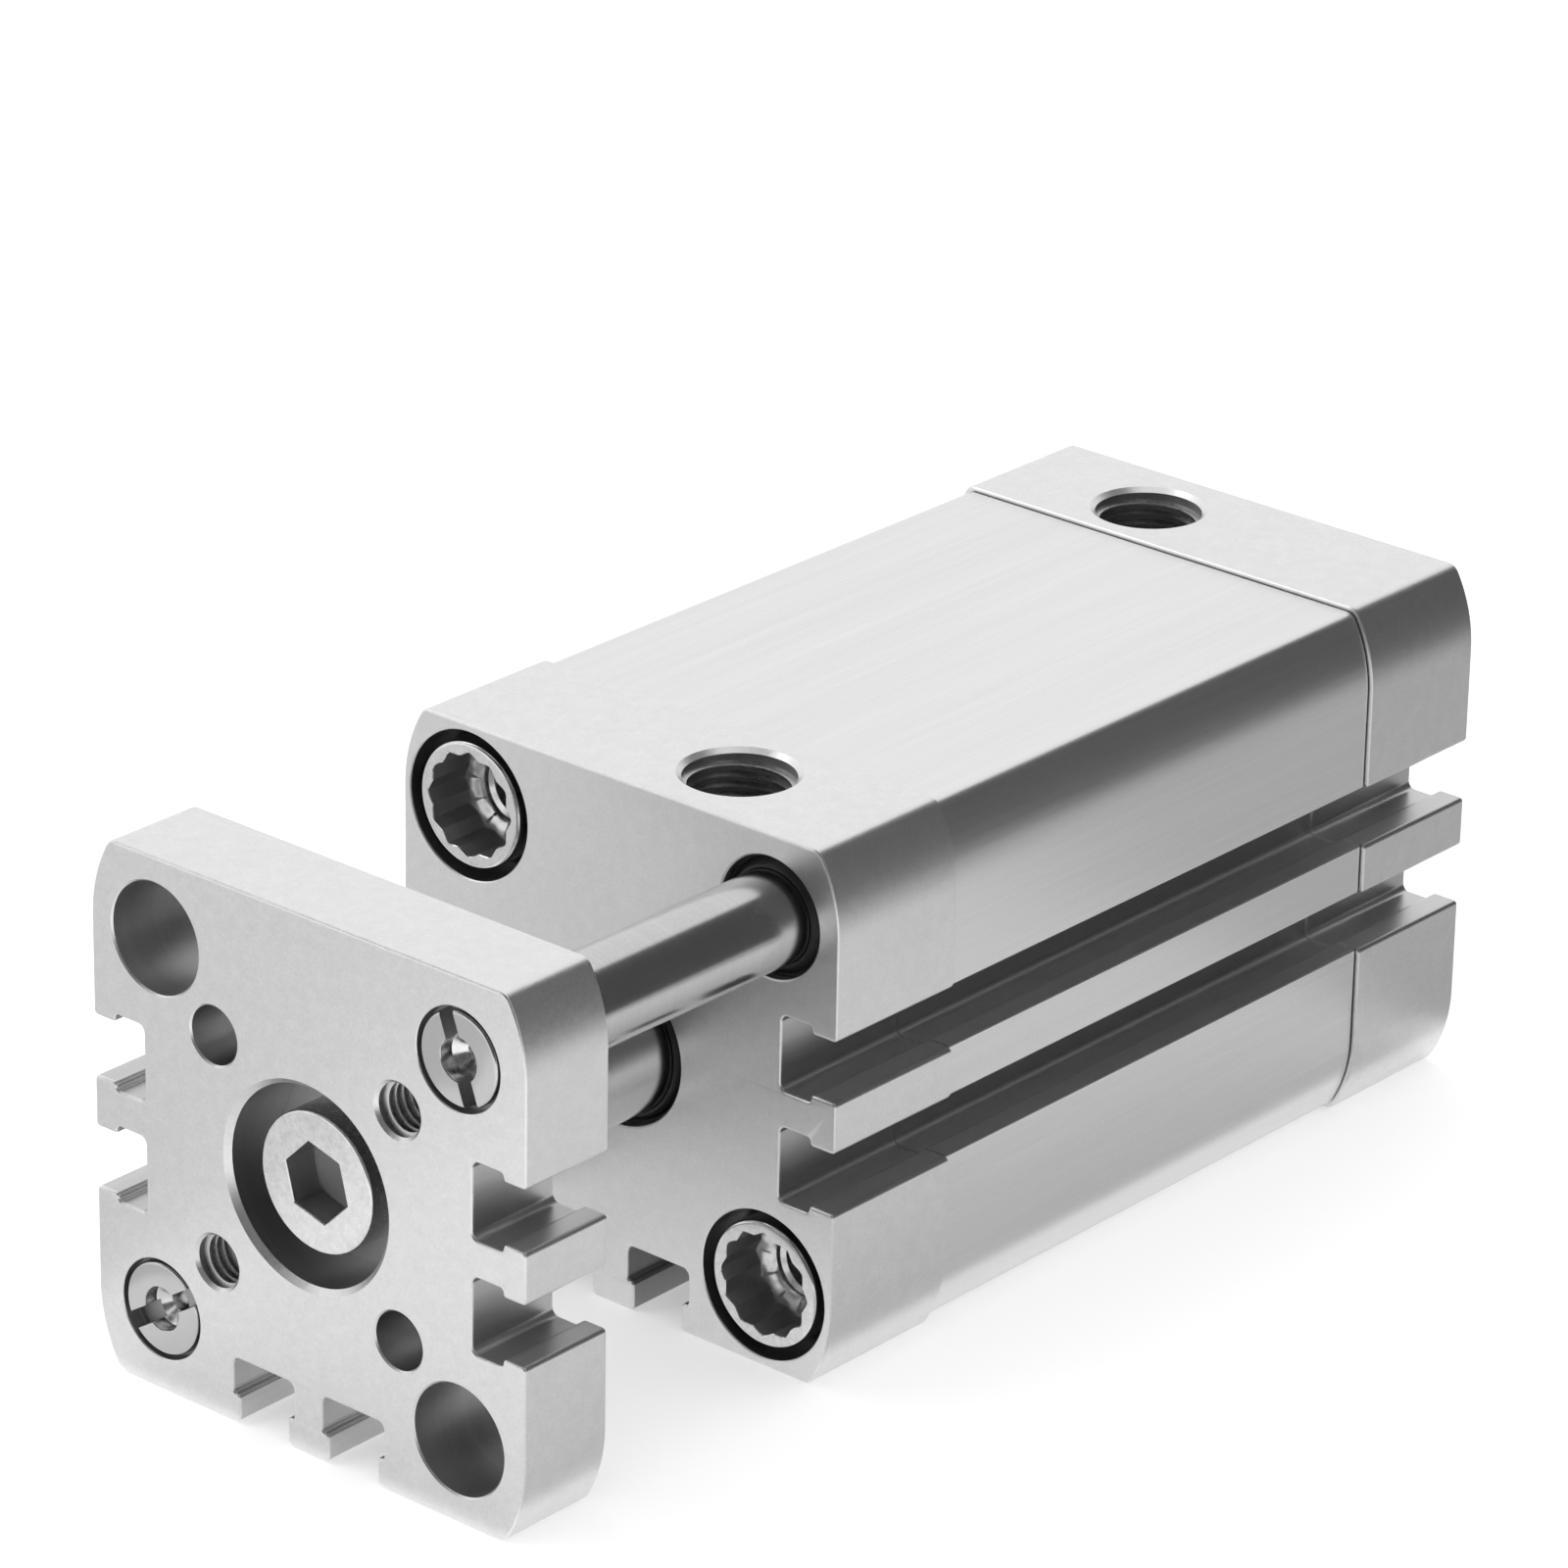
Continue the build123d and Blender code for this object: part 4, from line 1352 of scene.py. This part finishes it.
@dataclass
class Wipers:
    """Black wiper rings in the mouths of the bearing cap."""

    layout: Layout
    finishes: Finishes
    ease: float = 0.05
    lip_width: float = 0.42

    def ring(self, name: str, node: str, centre: Point2, fit: RodFit) -> None:
        """One wiper with a leaning lip.

        Args:
            name: Name of the piece.
            node: CAD node that it stands for.
            centre: Axis of the rod.
            fit: Sizes of the rod's passage.
        """
        face, rod, ease = self.layout.front_face, fit.rod, self.ease
        start, end = face + fit.groove_start + ease, face + fit.groove_end - ease
        walls = [
            (rod + ease, face + 0.36), (rod + 0.12, face + 0.33), (rod + 0.3, face + 0.36),
            (rod + self.lip_width, face + 0.5), (rod + fit.mouth_step - 0.3, start),
            (rod + fit.groove_step - ease, start), (rod + fit.groove_step - ease, end), (rod + ease, end),
        ]
        settle(name, turned(walls, centre, closed=True), self.finishes.rubber, Body.HOUSING, [node])

    def build(self) -> None:
        """All three wipers."""
        upper, lower = self.layout.guide_axes()
        self.ring("rod_wiper_ring", "rod_wiper", (0.0, 0.0), PISTON_ROD_FIT)
        self.ring("upper_wiper_ring", "guide_wiper_upper", upper, GUIDE_ROD_FIT)
        self.ring("lower_wiper_ring", "guide_wiper_lower", lower, GUIDE_ROD_FIT)


@dataclass
class Yoke:
    """Yoke plate with its holes, and the socket screw that holds it to the piston rod."""

    layout: Layout
    finishes: Finishes
    threads: GrowthTree
    half_width: float = 23.3
    access_hole: float = 4.75
    guide_seat: float = 4.02
    guide_relief: float = 4.35
    relief_depth: float = 1.2
    dowel_hole: float = 2.5
    thread_start: float = 0.95
    thread_end: float = 0.8
    counterbore: float = 8.5
    counterbore_bevel: float = 0.5
    counterbore_depth: float = 6.3
    screw_hole: float = 4.25
    screw_recess: float = 1.2
    screw_radius: float = 4.0
    screw_reach: float = 15.0
    head_radius: float = 6.0
    head_height: float = 5.1
    head_round: float = 0.25
    hex_width: float = 6.0
    hex_turn: float = 45.0
    hex_depth: float = 3.0

    def plate(self) -> None:
        """Slice of the profile with all its holes."""
        at = self.layout
        front, back, inner = at.yoke_front, at.yoke_back, at.inner
        access = (*mouth(self.access_hole, front, 1), *reversed(mouth(self.access_hole, back, -1)))
        shoulder = front + self.relief_depth
        seat = (*mouth(self.guide_relief, front, 1, 0.08), (self.guide_relief, shoulder), (self.guide_seat, shoulder),
                *reversed(mouth(self.guide_seat, back, -1)))
        dowel = (*mouth(self.dowel_hole, front, 1), *reversed(mouth(self.dowel_hole, back, -1)))
        tapped = (*M5_THREAD.entry(front, 1), (M5_THREAD.major, back - 0.3), (M5_THREAD.major + 0.3, back))
        floor, bevel = front + self.counterbore_depth, self.counterbore_bevel
        middle = ((self.counterbore + bevel, front), (self.counterbore, front + bevel), (self.counterbore, floor),
                  (self.screw_hole, floor), *reversed(mouth(self.screw_hole, back, -1)))
        bores = [Bore(centre, access) for centre in at.screw_axes()]
        bores += [Bore(centre, seat) for centre in at.guide_axes()]
        bores += [Bore(centre, dowel, Zone.SOFT_SHADE) for centre in ((-inner, inner), (inner, -inner))]
        bores += [Bore(centre, tapped) for centre in ((inner, inner), (-inner, -inner))]
        bores.append(Bore((0.0, 0.0), middle, Zone.SOFT_SHADE))
        block = Block(Profile(half_width=self.half_width), front, back, tuple(bores))
        settle("yoke_plate_block", block.skin(), self.finishes.plate, Body.SLIDE,
               ["yoke_plate"], self.finishes.recess_shade(block.zone))

    def tapped_threads(self) -> None:
        """Ridges of the two threads that hold the tool."""
        at = self.layout
        start = at.yoke_front + self.thread_start
        turns = (at.yoke_back - self.thread_end - start) / M5_THREAD.pitch
        ridges = M5_THREAD.ridges(self.threads, turns, Heading.INTO_PART,
                                  [(side * at.inner, start, side * at.inner) for side in (1, -1)],
                                  self.finishes.tapped)
        settle("yoke_threads", ridges, self.finishes.tapped, Body.SLIDE)

    def screw(self) -> None:
        """Low-head screw with a hexagon socket."""
        top = self.layout.yoke_front + self.screw_recess
        seat, floor = top + self.head_height, top + self.hex_depth
        end = self.layout.yoke_back + self.screw_reach
        socket = polygon_rim(self.hex_width, self.hex_turn)
        head, shank = self.head_radius, self.screw_radius
        shape = turned([
            (0, end), (shank - 0.65, end), (shank, end - 0.65), (shank, seat), (head - 0.1, seat), (head, seat - 0.1),
            *reversed(rounded_edge(head, top, 1, self.head_round)), (lambda angle: socket(angle) + 0.09, top),
            (socket, top + 0.07), (socket, floor), (self.hex_width / 2 - 0.1, floor), (0, floor + 1.3),
        ])

        def zone(point: Vector) -> Zone:
            """Socket walls get the same painted shade as the holes."""
            inside = math.hypot(point.x, point.z) < self.hex_width * 0.6
            return Zone.DEEP_SHADE if inside and top + 0.2 < point.y < floor + 1.5 else Zone.OUTSIDE

        settle("yoke_socket_screw", shape, self.finishes.head, Body.SLIDE, ["yoke_screw"],
               self.finishes.recess_shade(zone))

    def build(self) -> None:
        """Plate, threads and screw."""
        self.plate()
        self.tapped_threads()
        self.screw()


@dataclass
class Rods:
    """Piston rod and the two slotted guide rods."""

    layout: Layout
    finishes: Finishes
    piston_radius: float = 6.0
    piston_bevel: float = 0.3
    piston_end: float = -46.25
    yoke_thread: float = 4.02
    yoke_thread_depth: float = 16.2
    piston_thread: float = 3.02
    piston_thread_depth: float = 12.2
    guide_radius: float = 4.0
    guide_recess: float = 0.05
    guide_reach: float = 63.5
    slot_width: float = 1.5
    slot_depth: float = 1.5
    centre_hole: float = 1.88
    centre_depth: float = 1.3
    pilot_hole: float = 0.9
    pilot_depth: float = 4.4

    def cut(self, base: bpy.types.Mesh, tool: bpy.types.Mesh) -> bpy.types.Mesh:
        """Cuts one closed mesh out of another.

        Args:
            base: Mesh that is cut.
            tool: Mesh that is taken away.

        Returns:
            The cut mesh.
        """
        pair = [in_scene(mesh.name, mesh) for mesh in (base, tool)]
        for one in pair:
            weld(one.data)
        cutter = pair[0].modifiers.new("Cut", "BOOLEAN")
        cutter.operation = "DIFFERENCE"
        cutter.solver = "EXACT"
        cutter.object = pair[1]
        result = evaluated_mesh(pair[0])
        for one in pair:
            bpy.data.objects.remove(one)
        return result

    def slot_tool(self, front: float, degrees: float) -> bpy.types.Mesh:
        """Bar that cuts the driver slot.

        Args:
            front: Station of the rod's face.
            degrees: Direction of the slot from +X.

        Returns:
            Its mesh.
        """
        half, reach, turn = self.slot_width / 2, self.guide_radius + 1, math.radians(degrees)
        corners = [(u * math.cos(turn) - w * math.sin(turn), u * math.sin(turn) + w * math.cos(turn))
                   for u, w in ((-reach, -half), (reach, -half), (reach, half), (-reach, half))]
        skin = Skin()
        rings = [skin.ring((x, y, z) for x, z in corners) for y in (front - 1, front + self.slot_depth)]
        skin.path(rings)
        for ring in rings:
            skin.fill(ring)
        return skin.mesh("Slot tool")

    def guide_rod(self, name: str, node: str, centre: Point2, degrees: float) -> None:
        """One guide rod with its driver slot and centre hole.

        Args:
            name: Name of the piece.
            node: CAD node that it stands for.
            centre: Axis of the rod.
            degrees: Direction of the driver slot from +X.
        """
        radius, hole = self.guide_radius, self.centre_hole
        front = self.layout.yoke_front + self.guide_recess
        tip = self.layout.yoke_back + self.guide_reach
        cone_end, pilot_end = front + self.centre_depth + 0.8, front + self.pilot_depth
        solid = turned([
            (0, tip), (radius - 0.6, tip), (radius, tip - 0.6), *reversed(rounded_edge(radius, front, 1, 0.3)),
            (hole + 0.05, front), (hole, front + 0.05), (hole, front + self.centre_depth),
            (self.pilot_hole, cone_end), (self.pilot_hole, pilot_end), (0, pilot_end + 0.7),
        ])
        mesh = self.cut(solid.mesh(name), self.slot_tool(front, degrees))
        mesh.transform(Matrix.Translation((centre[0], 0.0, centre[1])))

        def zone(point: Vector) -> Zone:
            """Tells the centre hole, which gets a painted highlight in the plated steel's paler finish, from the
            driver slot, which gets the holes' painted shade.

            Args:
                point: Middle of a face.

            Returns:
                The kind of surface.
            """
            reach = math.hypot(point.x - centre[0], point.z - centre[1])
            if not front + 0.1 < point.y < pilot_end + 1.6 or reach > radius - 0.1:
                return Zone.OUTSIDE
            return Zone.CENTRE_HIGHLIGHT if reach < hole + 0.07 else Zone.DEEP_SHADE

        # Painted shade in the driver slot and a painted highlight in the centre hole.
        settle(name, mesh, self.finishes.rod, Body.SLIDE, [node],
               PaintedRecessShade({Zone.DEEP_SHADE: self.finishes.bore, Zone.CENTRE_HIGHLIGHT: self.finishes.screw}, zone))

    def piston_rod(self) -> None:
        """Plain rod from the plate to the piston, with a threaded hole at each end."""
        back, end, radius, bevel = self.layout.yoke_back, self.piston_end, self.piston_radius, self.piston_bevel
        yoke_floor, piston_floor = back + self.yoke_thread_depth, end - self.piston_thread_depth
        bar = turned([
            (0, yoke_floor), (self.yoke_thread, yoke_floor), (self.yoke_thread, back), (radius - bevel, back),
            (radius, back + bevel), (radius, end - bevel), (radius - bevel, end), (self.piston_thread, end),
            (self.piston_thread, piston_floor), (0, piston_floor),
        ])
        settle("piston_rod_bar", bar, self.finishes.rod, Body.SLIDE, ["piston_rod"])

    def build(self) -> None:
        """All three rods."""
        upper, lower = self.layout.guide_axes()
        self.piston_rod()
        self.guide_rod("upper_guide_bar", "guide_rod_upper", upper, -70.0)
        self.guide_rod("lower_guide_bar", "guide_rod_lower", lower, 33.0)


class InnerParts:
    """Pieces inside the housing, which keep their CAD shape."""

    def __init__(self, finishes: Finishes) -> None:
        """Lists the finish of each inner node.

        Args:
            finishes: The part's finishes.
        """
        self.dress = {
            finishes.polymer: ("rod_bush", "guide_bush_upper", "guide_bush_lower", "piston_guide_ring"),
            finishes.rubber: ("front_cap_seal", "rear_cap_seal", "piston_seal_front", "piston_seal_rear",
                              "piston_o_ring"),
            finishes.cushion: ("front_cushion_ring", "rear_cushion_ring"),
            finishes.piston: ("piston_front_half", "piston_rear_half"),
            finishes.magnet: ("piston_magnet",),
            finishes.screw: ("piston_screw",),
        }

    def build(self) -> None:
        """Gives each inner node its material."""
        for material, nodes in self.dress.items():
            for name in nodes:
                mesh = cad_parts[name].data
                mesh.materials.clear()
                mesh.materials.append(material)
            log.info("%s: %s", material.name, ", ".join(nodes))


# studio


def hang_card(name: str, mesh: bpy.types.Mesh, colour: str) -> None:
    """Hangs up a matt card that only shows in shiny surfaces.

    Args:
        name: Name of the card.
        mesh: Its sheet, in millimetres.
        colour: Its sRGB colour.
    """
    mesh.transform(Matrix.Scale(MILLIMETRE, 4))
    mesh.materials.append(matt_material(name, colour, 1.0))
    card = in_scene(name, mesh)
    card.visible_camera = card.visible_diffuse = card.visible_shadow = False


@dataclass(frozen=True)
class Mat:
    """Grey sheet on the floor, which takes the glare out of the faces above it."""

    name: str
    low_mm: Point2
    high_mm: Point2
    colour: str
    lift_mm: float = 0.05

    def build(self) -> None:
        """Lays the sheet just over the floor."""
        level = self.lift_mm - Profile().half_width
        skin = Skin()
        (left, front), (right, rear) = self.low_mm, self.high_mm
        skin.fill(skin.ring([(left, front, level), (right, front, level), (right, rear, level), (left, rear, level)]))
        hang_card(self.name, skin.mesh(self.name), self.colour)


@dataclass(frozen=True)
class Flag:
    """Card bent round the part, which gives a dark band in its shiny surfaces."""

    name: str
    distance_mm: float
    azimuths: Point2
    elevations: Point2
    colour: str
    centre_mm: Point3 = (0.0, -85.0, 0.0)

    steps: int = 12

    def angles(self, ends: Point2) -> list[float]:
        """Angles in radians from one end of the card to the other, for its ends in degrees."""
        return [math.radians(ends[0] + (ends[1] - ends[0]) * i / self.steps) for i in range(self.steps + 1)]

    def build(self) -> None:
        """Hangs the card; azimuths run from +Y towards +X."""
        skin, rows = Skin(), []
        x, y, z = self.centre_mm
        for rise in self.angles(self.elevations):
            out, height = self.distance_mm * math.cos(rise), z + self.distance_mm * math.sin(rise)
            rows.append(skin.ring((x + out * math.sin(turn), y + out * math.cos(turn), height)
                                  for turn in self.angles(self.azimuths)))
        for first, second in zip(rows, rows[1:]):
            skin.bridge(first, second, frozenset({self.steps}))
        hang_card(self.name, skin.mesh(self.name), self.colour)


@dataclass
class Studio:
    """Camera, floor, cards, mats, lamp and world."""

    azimuth: float = 40.537
    elevation: float = 23.241
    roll: float = 1.033
    focal_px: float = 7599.3
    distance_mm: float = 624.6
    shift_right_mm: float = 6.15
    shift_up_mm: float = -12.34
    look_at_mm: Point3 = (0.0, -54.0, 0.0)
    picture_px: int = 1600
    sensor_mm: float = 36.0
    floor_half_m: float = 3.0
    floor_gap_mm: float = 0.02
    floor_glow: float = 0.4

    def camera(self) -> None:
        """Camera at the picture's viewing angle."""
        azimuth, elevation, roll = (math.radians(a) for a in (self.azimuth, self.elevation, self.roll))
        back = Vector((math.sin(azimuth) * math.cos(elevation), -math.cos(azimuth) * math.cos(elevation),
                       math.sin(elevation)))
        right = (-back).cross(Vector((0, 0, 1))).normalized()
        up = right.cross(-back)
        place = (Vector(self.look_at_mm) + back * self.distance_mm - right * self.shift_right_mm
                 - up * self.shift_up_mm) * MILLIMETRE
        across = right * math.cos(roll) + up * math.sin(roll)
        upward = up * math.cos(roll) - right * math.sin(roll)
        data = bpy.data.cameras.new("Camera")
        data.sensor_width = self.sensor_mm
        data.lens = self.focal_px / self.picture_px * self.sensor_mm
        data.clip_start, data.clip_end = 0.01, 20
        camera = in_scene("Camera", data)
        camera.matrix_world = Matrix.Translation(place) @ Matrix((across, upward, back)).transposed().to_4x4()
        bpy.context.scene.camera = camera

    def floor(self) -> None:
        """Pale floor that the housing lies on; it shows white and keeps a soft shadow."""
        height = -(Profile().half_width + self.floor_gap_mm) * MILLIMETRE
        mesh = bpy.data.meshes.new("Floor")
        mesh.from_pydata([(x * self.floor_half_m, y * self.floor_half_m, height)
                          for x, y in ((-1, -1), (1, -1), (1, 1), (-1, 1))], [], [(0, 1, 2, 3)])
        material = matt_material("White studio floor", "#E8E8E8", 0.9)
        tree = material.node_tree
        path = add_node(tree, "ShaderNodeLightPath").outputs
        direct = add_node(tree, "ShaderNodeMath", links={0: path["Is Camera Ray"], 1: path["Is Glossy Ray"]},
                          operation="MAXIMUM")
        seen = add_node(tree, "ShaderNodeMath", links={0: direct.outputs[0], 1: path["Is Transmission Ray"]},
                        operation="MAXIMUM")
        lift = add_node(tree, "ShaderNodeMath", {1: self.floor_glow}, {0: seen.outputs[0]}, operation="MULTIPLY")
        glow = add_node(tree, "ShaderNodeEmission", {"Color": (1, 1, 1, 1)}, {"Strength": lift.outputs[0]})
        paint = tree.nodes["Principled BSDF"].outputs[0]
        both = add_node(tree, "ShaderNodeAddShader", links={0: paint, 1: glow.outputs[0]})
        tree.links.new(both.outputs[0], tree.nodes["Material Output"].inputs["Surface"])
        mesh.materials.append(material)
        floor = in_scene("Floor", mesh)

    def world(self) -> None:
        """Even white surroundings."""
        world = bpy.data.worlds.new("Studio")
        world.use_nodes = True
        bpy.context.scene.world = world
        background = world.node_tree.nodes["Background"]
        background.inputs["Color"].default_value = (1, 1, 1, 1)
        background.inputs["Strength"].default_value = 1.0

    def flags(self) -> None:
        """Cards that give the rods and the rounded corners their dark bands, and mats that grey the upright faces."""
        for card in (Flag("Card at the right", 250.0, (8.0, 80.0), (-5.0, 60.0), "#5A5A5A"),
                     Flag("Card beside the camera", 450.0, (92.0, 172.0), (-2.0, 42.0), "#5C5C5C"),
                     Flag("Card above the front", 500.0, (120.0, 240.0), (30.0, 70.0), "#0C0C0C"),
                     Mat("Mat at the right", (24.5, -150.0), (420.0, 5.0), "#E6E6E6"),
                     Mat("Mat behind the right", (24.5, 5.0), (420.0, 320.0), "#B8B8B8"),
                     Mat("Mat at the left front", (-420.0, -520.0), (-34.0, -95.0), "#D4D4D4"),
                     Mat("Mat before the yoke", (-34.0, -520.0), (22.0, -121.0), "#FAFAFA")):
            card.build()

    def lamp(self, name: str, place: Point3, aim: Point3, size: float, watts: float) -> None:
        """Soft square lamp.

        Args:
            name: Name of the lamp.
            place: Where it hangs, in metres.
            aim: Point that it faces, in metres.
            size: Side of the square, in metres.
            watts: Power.
        """
        data = bpy.data.lights.new(name, "AREA")
        data.size = size
        data.energy = watts
        lamp = in_scene(name, data)
        lamp.location = place
        lamp.rotation_euler = (Vector(aim) - Vector(place)).to_track_quat("-Z", "Y").to_euler()

    def build(self) -> None:
        """Sets up the whole studio."""
        self.camera()
        self.floor()
        self.world()
        self.flags()
        self.lamp("Key", (-0.5, -0.45, 0.75), (0, -0.06, 0), 0.5, 1.2)
        bpy.context.scene.view_settings.view_transform = "Standard"


def main() -> None:
    """Builds the part and its studio in order."""
    logging.basicConfig(level=logging.INFO, format="%(message)s")
    layout, finishes = Layout(), Finishes()
    threads, copies, extrusion = thread_tree(), copies_tree(), extrusion_tree()
    Studio().build()
    Housing(layout, finishes, threads, extrusion).build()
    CollarScrews(layout, finishes, threads, copies).build()
    Wipers(layout, finishes).build()
    Yoke(layout, finishes, threads).build()
    Rods(layout, finishes).build()
    InnerParts(finishes).build()


if __name__ == "__main__":
    main()
